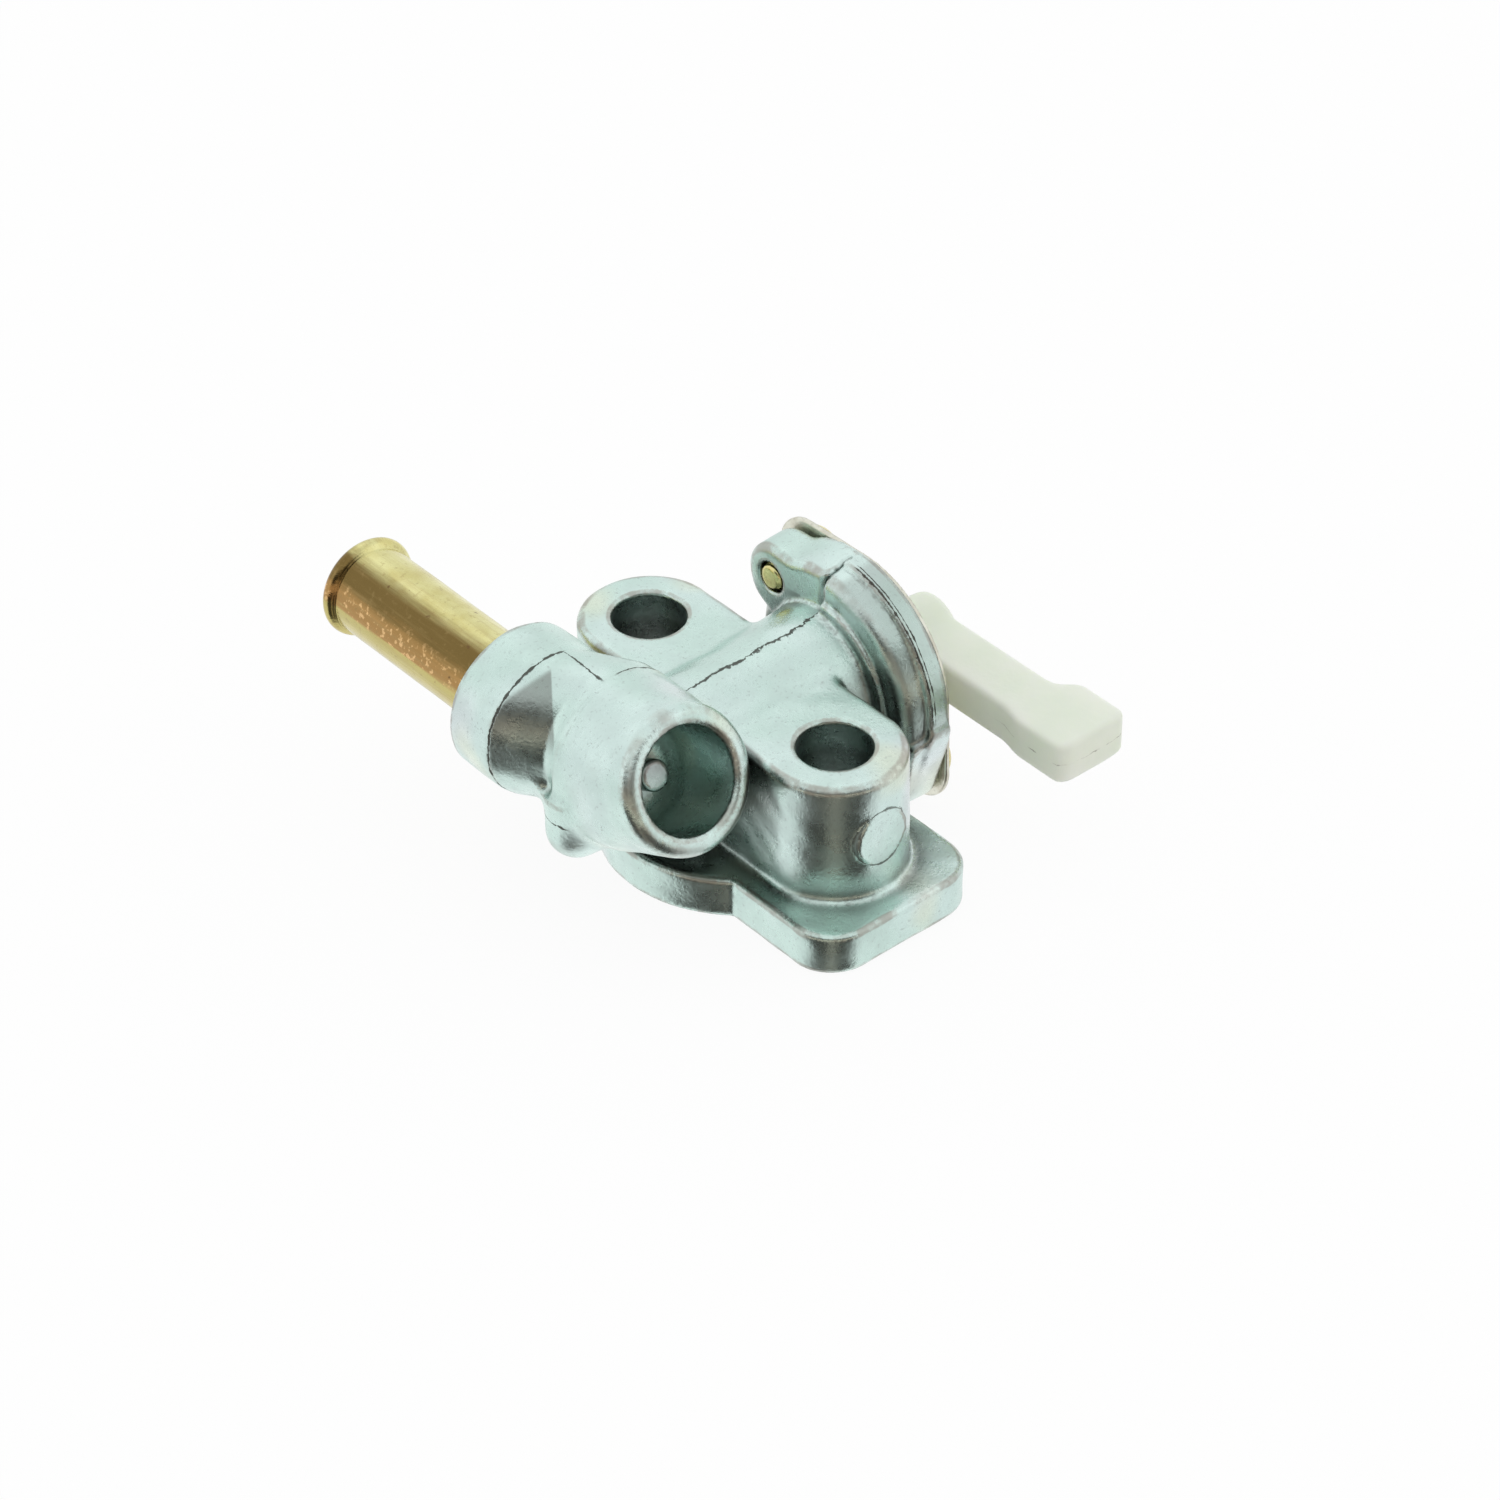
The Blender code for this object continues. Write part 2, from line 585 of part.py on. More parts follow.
def make_lever(mat):
    rotor = lathe('lever', along_x(z=AXIS_Z), [(ROTOR_BACK, ROTOR_R), (ROTOR_FRONT, ROTOR_R)], 56)
    neck = lathe('neck', along_x(z=AXIS_Z), edge_profile(ROTOR_FRONT - 0.5, BAR_FRONT, NECK_R, 0.5), 40)
    half = BAR_THICK / 2
    step = [(BAR_BACK, 0.6), (BAR_BACK, -BAR_REACH + 1.6), (BAR_BACK + 0.5, -BAR_REACH + 0.5),
            (BAR_BACK + 1.6, -BAR_REACH), (TIP_FRONT - 1.8, -BAR_REACH), (TIP_FRONT - 0.5, -BAR_REACH + 0.6),
            (TIP_FRONT, -BAR_REACH + 1.8), (TIP_FRONT, -TIP_START - 1.6), (TIP_FRONT - 0.35, -TIP_START - 0.6),
            (BAR_FRONT + 0.45, -TIP_START + 0.6), (BAR_FRONT, -TIP_START + 1.6), (BAR_FRONT, 0.6)]
    outline = [(x, y) for x, y in step]
    bar = prism('bar', along_z(), rounded_rings(outline, AXIS_Z - half, AXIS_Z + half, BAR_EDGE, 3, True))
    join(rotor, [neck, bar])
    channel = []
    for i in range(13):
        a = math.radians(70 + 130 * i / 12)
        channel.append((5.2 * math.cos(a), 5.2 * math.sin(a)))
    for i in range(13):
        a = math.radians(200 - 130 * i / 12)
        channel.append((2.8 * math.cos(a), 2.8 * math.sin(a)))
    cut(rotor, [prism('channel', along_x(z=AXIS_Z), [(ROTOR_BACK - 1, channel), (ROTOR_BACK + 0.6, channel)])])
    return finish(rotor, 'lever', mat, (0, 0, AXIS_Z))


def main():
    for obj in list(bpy.data.objects):
        bpy.data.objects.remove(obj)
    make_body(material('zinc_casting', (0.62, 0.68, 0.66), 0.9, 0.38))
    make_tube(material('brass', (0.62, 0.5, 0.2), 1.0, 0.32))
    make_seal(material('seal_rubber', (0.03, 0.03, 0.03), 0.0, 0.7))
    make_ring(material('ring_rubber', (0.04, 0.035, 0.035), 0.0, 0.6))
    make_washer(material('spring_steel', (0.5, 0.5, 0.5), 1.0, 0.35))
    make_plate(material('plated_sheet', (0.72, 0.7, 0.6), 1.0, 0.35))
    make_screw('screw_upper', 1, material('yellow_zinc_upper', (0.72, 0.65, 0.3), 1.0, 0.3))
    make_screw('screw_lower', -1, material('yellow_zinc_lower', (0.72, 0.65, 0.3), 1.0, 0.3))
    make_lever(material('white_nylon', (0.82, 0.85, 0.76), 0.0, 0.45))


main()
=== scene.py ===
# %% [markdown]
# # A small fuel tap
# The tap is a zinc die casting with a brass hose spigot, a nylon lever and a thin steel plate held by two
# screws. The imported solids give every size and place; here each piece gets its true surface and finish.

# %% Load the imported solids
import math

import bpy
import numpy as np
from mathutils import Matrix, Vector


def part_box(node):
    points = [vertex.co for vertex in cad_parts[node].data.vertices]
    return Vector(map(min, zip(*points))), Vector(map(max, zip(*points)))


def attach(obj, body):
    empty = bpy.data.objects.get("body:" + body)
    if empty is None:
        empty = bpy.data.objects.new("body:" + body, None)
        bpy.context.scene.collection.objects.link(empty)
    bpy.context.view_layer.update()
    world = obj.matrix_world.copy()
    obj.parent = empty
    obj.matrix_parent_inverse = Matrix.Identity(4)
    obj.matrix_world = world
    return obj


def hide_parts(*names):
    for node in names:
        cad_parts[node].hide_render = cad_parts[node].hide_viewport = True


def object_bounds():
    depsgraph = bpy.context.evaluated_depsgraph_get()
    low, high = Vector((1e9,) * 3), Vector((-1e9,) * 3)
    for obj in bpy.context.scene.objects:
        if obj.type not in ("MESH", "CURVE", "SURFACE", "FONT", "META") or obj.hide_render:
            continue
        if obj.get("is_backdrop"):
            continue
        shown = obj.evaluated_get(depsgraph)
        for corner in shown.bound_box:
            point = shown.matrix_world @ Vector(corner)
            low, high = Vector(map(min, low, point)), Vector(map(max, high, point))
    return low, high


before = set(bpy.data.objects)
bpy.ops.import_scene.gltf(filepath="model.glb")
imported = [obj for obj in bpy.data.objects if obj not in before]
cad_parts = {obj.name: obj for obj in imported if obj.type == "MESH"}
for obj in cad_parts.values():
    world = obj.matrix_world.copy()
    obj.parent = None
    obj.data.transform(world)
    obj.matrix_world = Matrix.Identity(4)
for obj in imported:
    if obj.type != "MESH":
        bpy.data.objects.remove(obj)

MM = 0.001
cad_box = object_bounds()

# %% [markdown]
# ## Surfaces from a distance field
# A casting is not a set of boxes: every corner is rounded and every inside corner has a fillet. A distance
# field gives that with little code. Each shape is a formula for the distance to its surface, negative inside.
# Shapes are joined with a soft minimum, which leaves a fillet, and cut with a soft maximum, which leaves a
# rounded rim. The surface is then the place where the field is zero.

# %% Distance formulas
def soft_min(a, b, k):
    """min(a, b) less h squared times k / 4, where h = max(k - |a - b|, 0) / k: a fillet about k wide."""
    h = np.maximum(k - np.abs(a - b), 0) / k
    return np.minimum(a, b) - h * h * k * 0.25


def soft_max(a, b, k):
    """The soft minimum turned over, for rounded rims where one shape cuts another."""
    return -soft_min(-a, -b, k)


def raised(flat, along, low, high, edge):
    """An outline raised from low to high: the length of (flat, |along - middle| - half height) with the
    corner between wall and end rounded by edge."""
    end = np.abs(along - (low + high) / 2) - (high - low) / 2 + edge
    wall = flat + edge
    return np.minimum(np.maximum(wall, end), 0) + np.hypot(np.maximum(wall, 0), np.maximum(end, 0)) - edge


def rounded_rectangle(u, v, half_u, half_v, corner):
    """Distance to a rectangle whose corners are arcs: the rectangle less the arc, grown by the arc."""
    du = np.abs(u) - half_u + corner
    dv = np.abs(v) - half_v + corner
    return np.minimum(np.maximum(du, dv), 0) + np.hypot(np.maximum(du, 0), np.maximum(dv, 0)) - corner


def two_circles(u, v, big, small, apart):
    """Outline drawn tight round a big circle at the origin and a small one at distance apart along u."""
    lean = (big - small) / apart
    side = math.sqrt(1 - lean * lean)
    v = np.abs(v)
    across = u * side - v * lean
    near_big = np.hypot(u, v) - big
    near_small = np.hypot(u - apart, v) - small
    straight = u * lean + v * side - big
    return np.where(across < 0, near_big, np.where(across > apart * side, near_small, straight))


# %% [markdown]
# ## From field to mesh
# The field is sampled on a grid. Each grid cell that the surface crosses gets one vertex, at the mean of the
# crossings on its edges, and each grid edge that the surface crosses gets one quad between its four cells.
# Then every vertex slides along the slope of the field onto the true surface. All of it is whole-array work.

# %% Grid, mesh and projection
def surface_net(field, low, high, cell):
    """Vertices and quads of the zero surface of field between two corners, in millimetres."""
    low = np.array(low, float)
    count = np.ceil((np.array(high, float) - low) / cell).astype(int) + 1
    axes = [low[i] + cell * np.arange(count[i]) for i in range(3)]
    slabs = []
    for start in range(0, count[0], 24):
        x, y, z = np.meshgrid(axes[0][start:start + 24], axes[1], axes[2], indexing="ij")
        slabs.append(field(x, y, z))
    value = np.concatenate(slabs)
    inside = value < 0
    total = np.zeros(tuple(count - 1) + (3,))
    hits = np.zeros(tuple(count - 1))
    flips = []
    for axis in range(3):
        a = [slice(None)] * 3
        b = [slice(None)] * 3
        a[axis] = slice(None, -1)
        b[axis] = slice(1, None)
        va, vb = value[tuple(a)], value[tuple(b)]
        flip = inside[tuple(a)] != inside[tuple(b)]
        flips.append((flip, inside[tuple(a)]))
        spot = np.argwhere(flip)
        share = va[flip] / (va[flip] - vb[flip])
        point = spot.astype(float)
        point[:, axis] += share
        others = [i for i in range(3) if i != axis]
        for du in (0, 1):
            for dv in (0, 1):
                home = spot.copy()
                home[:, others[0]] -= du
                home[:, others[1]] -= dv
                ok = np.all((home >= 0) & (home < count - 1), axis=1)
                np.add.at(total, tuple(home[ok].T), point[ok])
                np.add.at(hits, tuple(home[ok].T), 1)
    used = hits > 0
    number = np.full(used.shape, -1)
    number[used] = np.arange(used.sum())
    verts = low + cell * total[used] / hits[used][:, None]
    quads = []
    for axis in range(3):
        flip, first_inside = flips[axis]
        spot = np.argwhere(flip)
        u, v = [(1, 2), (2, 0), (0, 1)][axis]
        ok = (spot[:, u] > 0) & (spot[:, v] > 0)
        ok &= (spot[:, u] < count[u] - 1) & (spot[:, v] < count[v] - 1)
        spot = spot[ok]
        corners = []
        for du, dv in ((0, 0), (1, 0), (1, 1), (0, 1)):
            home = spot.copy()
            home[:, u] -= du
            home[:, v] -= dv
            corners.append(number[tuple(home.T)])
        quad = np.stack(corners, axis=1)
        out = first_inside[flip][ok]
        quad[~out] = quad[~out][:, ::-1]
        quads.append(quad)
    return verts, np.concatenate(quads)


def slope(field, points, step=0.02):
    """Gradient of the field by central differences."""
    parts = []
    for axis in range(3):
        shift = np.zeros(3)
        shift[axis] = step
        ahead = field(*(points + shift).T)
        behind = field(*(points - shift).T)
        parts.append((ahead - behind) / (2 * step))
    return np.stack(parts, axis=1)


def settle(field, verts, quads, cell, rounds=4):
    """Even out the net by moving each vertex half way to the mean of its neighbours, along the surface
    only, and slide it down the slope onto the zero surface, a few times over."""
    edges = np.concatenate([quads[:, [i, (i + 1) % 4]] for i in range(4)])
    degree = np.zeros(len(verts))
    np.add.at(degree, edges[:, 0], 1)
    np.add.at(degree, edges[:, 1], 1)
    for turn in range(rounds):
        g = slope(field, verts)
        size = np.linalg.norm(g, axis=1, keepdims=True) + 1e-9
        normal = g / size
        if turn < rounds - 2:
            mean = np.zeros_like(verts)
            np.add.at(mean, edges[:, 0], verts[edges[:, 1]])
            np.add.at(mean, edges[:, 1], verts[edges[:, 0]])
            pull = (mean / degree[:, None] - verts) * 0.5
            verts = verts + pull - normal * np.sum(pull * normal, axis=1, keepdims=True)
        drop = field(*verts.T)[:, None] / size
        verts = verts - normal * np.clip(drop, -0.5 * cell, 0.5 * cell)
    return verts


def mesh_piece(name, verts, faces, sharp=None):
    """An object at the origin with its place in its mesh, in metres, shaded smooth."""
    mesh = bpy.data.meshes.new(name)
    verts = np.asarray(verts, np.float32) * MM
    faces = np.asarray(faces, np.int32)
    mesh.vertices.add(len(verts))
    mesh.vertices.foreach_set("co", verts.ravel())
    mesh.loops.add(faces.size)
    mesh.loops.foreach_set("vertex_index", faces.ravel())
    mesh.polygons.add(len(faces))
    mesh.polygons.foreach_set("loop_start", np.arange(0, faces.size, faces.shape[1], dtype=np.int32))
    mesh.update(calc_edges=True)
    mesh.validate()
    mesh.polygons.foreach_set("use_smooth", np.ones(len(mesh.polygons), bool))
    if sharp:
        mesh.set_sharp_from_angle(angle=math.radians(sharp))
    piece = bpy.data.objects.new(name, mesh)
    bpy.context.scene.collection.objects.link(piece)
    return piece


def field_piece(name, field, low, high, cell):
    verts, quads = surface_net(field, low, high, cell)
    verts = settle(field, verts, quads, cell)
    print(name, "has", len(quads) * 2, "triangles")
    return mesh_piece(name, verts, quads)


# %% [markdown]
# ## The casting
# The flange, bosses, barrel, cup, gallery, collar and tilted socket are one pour of zinc. The field joins
# them in that order, each with the fillet the photograph shows at its root, and then cuts the holes.
# Sizes are in millimetres in the frame's own axes: X along the valve, Y toward the spigot, Z up from the
# mounting face.

# %% Sizes of the casting, in millimetres
AXIS_Z = 11.1
FLANGE_TOP = 4.0
DISC_R = 12.6
LOBE_HALF_WIDTH = 8.7
LOBE_REACH = 21.0
LOBE_CORNER = 4.0
BOLT_Y = 12.0
BOLT_R = 3.25
BOSS_R = 6.2
BOSS_TOP = 15.7
BOSS_DRAFT = 0.012
PAD_X = -0.15
PAD_Z = 9.85
PAD_R = 2.7
PAD_FRONT = -18.2
BARREL_START = -7.4
BARREL_R = 6.45
BARREL_DRAFT = 0.065
CUP_BACK = 9.2
CUP_R = 10.4
STEP_R = 8.2
BAND_BACK = 11.35
BAND_R = 11.4
CUP_FRONT = 13.5
CAVITY_R = 8.6
CAVITY_FLOOR = 10.3
EAR_ANGLE = math.radians(43.3)
EAR_APART = 9.72
EAR_R = 3.2
EAR_BACK = 9.5
EAR_DRAFT = 0.04
ARM_BACK_R = 10.75
SCREW_HOLE_R = 1.66
SCREW_PITCH = 0.5
SCREW_TIP_X = 10.2
PIPE_Z = 15.4
GALLERY_X = -12.88
GALLERY_R = 6.62
GALLERY_START = -5.65
GALLERY_END = 0.9
TUBE_X = -15.43
COLLAR_R = 6.87
COLLAR_BACK = 6.0
COLLAR_END = 11.25
SHOULDER_LEAN = 0.617
TUBE_HOLE_R = 4.17
TUBE_HOLE_DEPTH = 5.0
LUG_X = -17.45
LUG_Y = 0.5
LUG_R = 2.65
LUG_LOW = 8.75
LUG_TOP = 12.4
INLET_R = 1.7
INLETS = ((-2.4, 14.0), (4.2, 7.0))
SOCKET_TILT = math.radians(25)
SOCKET_SIDE = 11.42
SOCKET_FACE = 15.22
SOCKET_X = -12.93
SOCKET_R = 6.43
BORE_R = 4.6
BORE_DEPTH = 10.2
STUD_R = 1.38
STUD_TOP = 4.9
print("flange", 2 * LOBE_REACH, "mm long, bolt holes", 2 * BOLT_Y, "mm apart, valve axis", AXIS_Z, "mm up")


def socket_axes(x, y, z):
    """Socket coordinates: across in X, out along the tilted axis, and up at right angles to both."""
    c, s = math.cos(SOCKET_TILT), math.sin(SOCKET_TILT)
    across = x - SOCKET_X
    out = -c * y + s * z
    up = s * y + c * z - SOCKET_SIDE
    return across, out, up


def casting(x, y, z):
    """Distance to the casting, in millimetres."""
    # flange: a disc and a bar with round corners
    disc = np.hypot(x, y) - DISC_R
    bar = rounded_rectangle(x, y, LOBE_HALF_WIDTH, LOBE_REACH, LOBE_CORNER)
    flange = raised(soft_min(disc, bar, 0.25), z, 0, FLANGE_TOP, 0.45)

    # bosses: a slot outline with the barrel across it
    slot = np.hypot(x, np.maximum(np.abs(y) - BOLT_Y, 0)) - BOSS_R - BOSS_DRAFT * (BOSS_TOP - z)
    bosses = raised(slot, z, 1.0, BOSS_TOP, 0.75)
    height = z - AXIS_Z
    off_axis = np.hypot(y, height)
    barrel_wall = off_axis - BARREL_R - BARREL_DRAFT * np.maximum(x, 0)
    barrel = raised(barrel_wall, x, BARREL_START, CUP_BACK + 1, 0.3)
    web = raised(rounded_rectangle(x - 2.5, y, 6.0, 4.2, 1.0), z, 1.0, AXIS_Z - 2, 0.3)
    pad = raised(np.hypot(x - PAD_X, z - PAD_Z) - PAD_R, y, PAD_FRONT, -14.0, 0.1)
    body = soft_min(bosses, flange, 0.8)
    body = np.minimum(body, pad)

    # cup: the lever's half has a round wall behind a wider band, the other half a thin wall that
    # leans out to the front rim, with a flat-backed arm over it that ends in the upper ear
    cup_wall = off_axis - CUP_R - 0.24 * np.clip(x - CUP_BACK, 0, 2.2)
    cup = raised(cup_wall, x, CUP_BACK, CUP_FRONT - 0.4, 1.0)
    band = raised(off_axis - BAND_R, x, BAND_BACK, CUP_FRONT, 0.22)
    cup = np.maximum(soft_min(cup, band, 0.12), y)
    step = np.maximum(raised(off_axis - STEP_R, x, CUP_BACK - 0.45, CUP_FRONT - 1, 0.12), y)
    lean = np.maximum((off_axis - 9.1 - (x - 10.6)) * 0.7, off_axis - BAND_R)
    lean = np.maximum(np.maximum(lean, 9.7 - x), np.maximum(x - CUP_FRONT, -y - 0.3))
    toward = y * math.cos(EAR_ANGLE) + height * math.sin(EAR_ANGLE)
    aside = -y * math.sin(EAR_ANGLE) + height * math.cos(EAR_ANGLE)
    draft = EAR_DRAFT * (CUP_FRONT - x)
    lower = np.maximum(two_circles(-toward, aside, BAND_R, EAR_R, EAR_APART) + draft, 9.2 + toward)
    lower = raised(lower, x, EAR_BACK, CUP_FRONT, 0.5)
    stem = rounded_rectangle(toward - 4.0, aside, 6.0, 2.7, 1.0)
    upper = soft_min(np.hypot(toward - EAR_APART, aside) - EAR_R, stem, 2.5)
    arm_r = np.minimum(ARM_BACK_R + 0.2 * (x - EAR_BACK), BAND_R)
    arm = np.maximum(np.maximum(off_axis - arm_r, -y), -aside)
    upper = raised(soft_min(upper, arm, 1.0) + draft, x, EAR_BACK, CUP_FRONT, 0.7)
    cup = soft_min(np.minimum(np.minimum(cup, step), lean), lower, 1.2)
    cup = np.minimum(cup, upper)

    barrel = soft_min(barrel, web, 2.0)
    body = soft_min(body, barrel, 0.6)
    body = soft_min(body, cup, 0.55)

    # gallery: round above, squarer below, with the tilted socket growing out of it
    pipe_height = z - PIPE_Z
    gx = x - GALLERY_X
    gallery_round = np.hypot(gx, pipe_height) - GALLERY_R
    gallery_square = rounded_rectangle(gx, pipe_height, GALLERY_R, GALLERY_R, 4.3)
    gallery = np.where(pipe_height > 0, gallery_round, gallery_square)
    gallery = raised(gallery, y, GALLERY_START - 3, GALLERY_END, 0.25)
    gallery = soft_max(gallery, GALLERY_START - y, 3.0)
    across, out, up = socket_axes(x, y, z)
    ring = np.hypot(across, up)
    socket = raised(ring - SOCKET_R, out, SOCKET_FACE - 10.6, SOCKET_FACE, 1.05)
    gallery = soft_min(gallery, socket, 1.2)

    # collar, with the shoulder that leads sideways and down to the gallery
    tube_r = np.hypot(x - TUBE_X, pipe_height)
    collar = raised(tube_r - COLLAR_R, y, COLLAR_BACK, COLLAR_END, 0.5)
    lead = np.clip(COLLAR_BACK - y, 0, 4.13)
    shoulder = np.hypot(x - TUBE_X - SHOULDER_LEAN * lead, pipe_height) - COLLAR_R + 0.07 + 0.045 * lead
    shoulder = np.maximum(shoulder * 0.82, np.abs(y - 3.45) - 3.1)
    neck = raised(rounded_rectangle(x + 8.4, y, 4.2, 5.2, 1.0), z, 6.4, 14.9, 0.5)
    tie = np.clip((x + 13.0) / 8.0, 0, 1)
    bridge = rounded_rectangle(y - 6.0, z - 13.3 + 2.1 * tie, 3.4, 3.9 - 0.7 * tie, 1.2)
    bridge = np.maximum(bridge, np.abs(x + 9.0) - 4.0)
    gallery = soft_min(gallery, soft_min(shoulder, collar, 0.1), 0.2)
    gallery = soft_min(gallery, neck, 1.0)
    gallery = soft_min(gallery, bridge, 1.0)
    lug = np.hypot(np.hypot(x - LUG_X, y - LUG_Y), np.maximum(LUG_LOW - z, 0)) - LUG_R
    lug = np.maximum(lug, z - LUG_TOP)
    gallery = soft_min(gallery, lug, 1.6)
    body = soft_min(body, gallery, 0.5)
    body = soft_max(body, -z, 0.25)

    # the skin of a casting is never quite true
    wave = np.sin(0.9 * x + 1.3 * y + 0.5) * np.sin(1.1 * z - 0.7 * x) + 0.6 * np.sin(1.7 * y - 1.9 * z + x)
    body = body + 0.022 * wave

    # holes
    bolts = np.hypot(x, np.abs(y) - BOLT_Y) - BOLT_R
    body = soft_max(body, -bolts, 0.35)
    bolt_r = np.hypot(np.abs(toward) - EAR_APART, aside)
    thread = 0.12 * np.abs(((x / SCREW_PITCH) % 1) - 0.5)
    mouth = 0.2 * np.clip((SCREW_TIP_X - x) / 0.4, 0, 1)
    screw_hole = np.maximum(bolt_r - SCREW_HOLE_R - thread + mouth, 8.0 - x)
    body = soft_max(body, -screw_hole, 0.1)
    cavity = raised(off_axis - CAVITY_R, x, CAVITY_FLOOR, 20.0, 0.6)
    body = soft_max(body, -cavity, 0.2)
    bore = raised(ring - BORE_R, out, SOCKET_FACE - BORE_DEPTH, SOCKET_FACE + 3.0, 2.4)
    bore = np.maximum(bore, out - SOCKET_FACE - 0.6)
    body = soft_max(body, -bore, 0.5)
    stud = raised(ring - STUD_R, out, SOCKET_FACE - 10.0, SOCKET_FACE - STUD_TOP, 0.2)
    body = soft_min(body, stud, 0.5)
    tube_bore = np.maximum(tube_r - TUBE_HOLE_R, COLLAR_END - TUBE_HOLE_DEPTH - y)
    body = soft_max(body, -tube_bore, 0.25)
    for inlet_x, top in INLETS:
        inlet = np.maximum(np.hypot(x - inlet_x, y) - INLET_R, z - top)
        body = soft_max(body, -inlet, 0.2)
    return body


# %% Mesh the casting
body_low, body_high = [np.array(corner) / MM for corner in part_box("body")]
casting_piece = field_piece("casting", casting, body_low - 0.6, body_high + 0.6, 0.30)
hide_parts("body")
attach(casting_piece, "tap")
print("casting box, mm:", np.round(body_low, 2), np.round(body_high, 2))

# %% [markdown]
# ## The spigot
# A length of drawn brass tube. Its free end is rolled back into a bead that keeps the hose on. It is a turned
# shape, so one profile of distance along the tube and radius, carried round the axis, makes it.

# %% Turned surfaces
def turned(name, profile, count, place, wobble=None):
    """Surface through a closed profile of (along, radius) carried round an axis: each point is
    place(along, radius cos angle, radius sin angle)."""
    profile = np.asarray(profile, float)
    angle = 2 * math.pi * np.arange(count) / count
    along = np.repeat(profile[:, 0][None], count, axis=0)
    radius = np.repeat(profile[:, 1][None], count, axis=0)
    if wobble is not None:
        radius = radius + wobble(along, angle[:, None] + 0 * along)
    points = place(along, radius * np.cos(angle)[:, None], radius * np.sin(angle)[:, None])
    size = len(profile)
    index = np.arange(count * size).reshape(count, size)
    across = np.roll(index, -1, axis=0)
    quads = np.stack([index, across, np.roll(across, -1, axis=1), np.roll(index, -1, axis=1)], axis=-1)
    return mesh_piece(name, points.reshape(-1, 3), quads.reshape(-1, 4), sharp=50)


def arc(along, radius, size, start, stop, steps):
    """Points of a circular fillet of a profile, start and stop in degrees from the axis direction."""
    a = np.radians(np.linspace(start, stop, steps))
    return np.stack([along + size * np.cos(a), radius + size * np.sin(a)], axis=1)


TUBE_R = 4.06
TUBE_BORE = 3.13
TUBE_START = 6.45
TUBE_END = 32.25


def tube_place(along, u, v):
    return np.stack([TUBE_X + u, along, PIPE_Z - v], axis=-1)


straight = np.linspace(TUBE_START + 0.3, TUBE_END - 1.85, 60)
tube_profile = np.concatenate([
    [[TUBE_START, TUBE_BORE], [TUBE_START, TUBE_R - 0.25]],
    np.stack([straight, np.full(60, TUBE_R)], axis=1),
    arc(TUBE_END - 1.72, TUBE_R + 0.2, 0.2, 270, 345, 6),
    arc(TUBE_END - 0.78, TUBE_R - 0.2, 0.78, 150, 0, 20),
    arc(TUBE_END - 0.5, TUBE_BORE + 0.5, 0.5, 0, -90, 6),
    np.stack([np.linspace(TUBE_END - 1, TUBE_START + 0.5, 12), np.full(12, TUBE_BORE)], axis=1)])


def tube_wobble(along, angle):
    return 0.012 * np.sin(2 * angle + 0.35 * along) + 0.006 * np.sin(5 * angle - 0.8 * along)


tube = turned("spigot", tube_profile, 160, tube_place, tube_wobble)
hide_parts("outlet_tube")
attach(tube, "tap")
print("spigot runs from", TUBE_START, "to", TUBE_END, "mm")

# %% [markdown]
# ## The lever
# Natural nylon, moulded in one with the rotor behind the plate. The handle is a flat bar with a step
# outward at its tip for the thumb. Its field is two rounded outlines in plan, softly joined, with all
# edges eased.

# %% Lever
BAR_BACK = 16.5
BAR_FRONT = 21.95
TIP_FRONT = 23.7
BAR_REACH = 22.6
BAR_HALF = 2.0
TIP_START = 16.2
HUB_R = 2.75
HUB_FRONT = 22.5
NECK_R = 3.1
ROTOR_R = 7.2
ROTOR_BACK = 12.42


def handle(x, y, z):
    """Distance to the nylon moulding: a bar and a wider tip in plan, a round hub, a neck and the rotor."""
    height = z - AXIS_Z
    mid, half = (BAR_BACK + BAR_FRONT) / 2, (BAR_FRONT - BAR_BACK) / 2
    bar = rounded_rectangle(x - mid, y + BAR_REACH / 2 - 0.8, half, BAR_REACH / 2 + 0.8, 1.3)
    tip_mid, tip_half = (BAR_BACK + TIP_FRONT) / 2, (TIP_FRONT - BAR_BACK) / 2
    tip_y, tip_reach = (BAR_REACH + TIP_START) / 2, (BAR_REACH - TIP_START) / 2
    tip = rounded_rectangle(x - tip_mid, y + tip_y, tip_half, tip_reach, 1.35)
    plan = soft_max(soft_min(bar, tip, 2.2), -y - BAR_REACH, 0.8)
    body = raised(plan, height, -BAR_HALF, BAR_HALF, 0.5)
    off_axis = np.hypot(y, height)
    hub = raised(off_axis - HUB_R, x, BAR_BACK, HUB_FRONT, 0.8)
    body = soft_min(body, hub, 1.0)
    neck = raised(off_axis - NECK_R, x, 13.0, 18.0, 0.2)
    body = soft_min(body, neck, 0.4)
    rotor = raised(off_axis - ROTOR_R, x, ROTOR_BACK, CUP_FRONT, 0.25)
    return np.minimum(body, rotor)


lever_piece = field_piece("lever_moulding", handle, (12.0, -23.2, 3.4), (24.3, 7.8, 18.8), 0.24)
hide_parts("lever")
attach(lever_piece, "handle")

# %% [markdown]
# ## Plate and screws
# The plate is half a millimetre of pressed steel with a raised middle. The screws are small pan heads with a
# cross recess and a rolled thread, whose point shows in the back of each ear.

# %% Plate
PLATE_BACK = 13.8
PLATE_FRONT = 14.3
PLATE_R = 10.6
PLATE_EAR_R = 3.75
PLATE_HOLE_R = 3.45
PLATE_SCREW_HOLE_R = 1.8
DOME_R = 6.2
DOME_RISE = 1.4


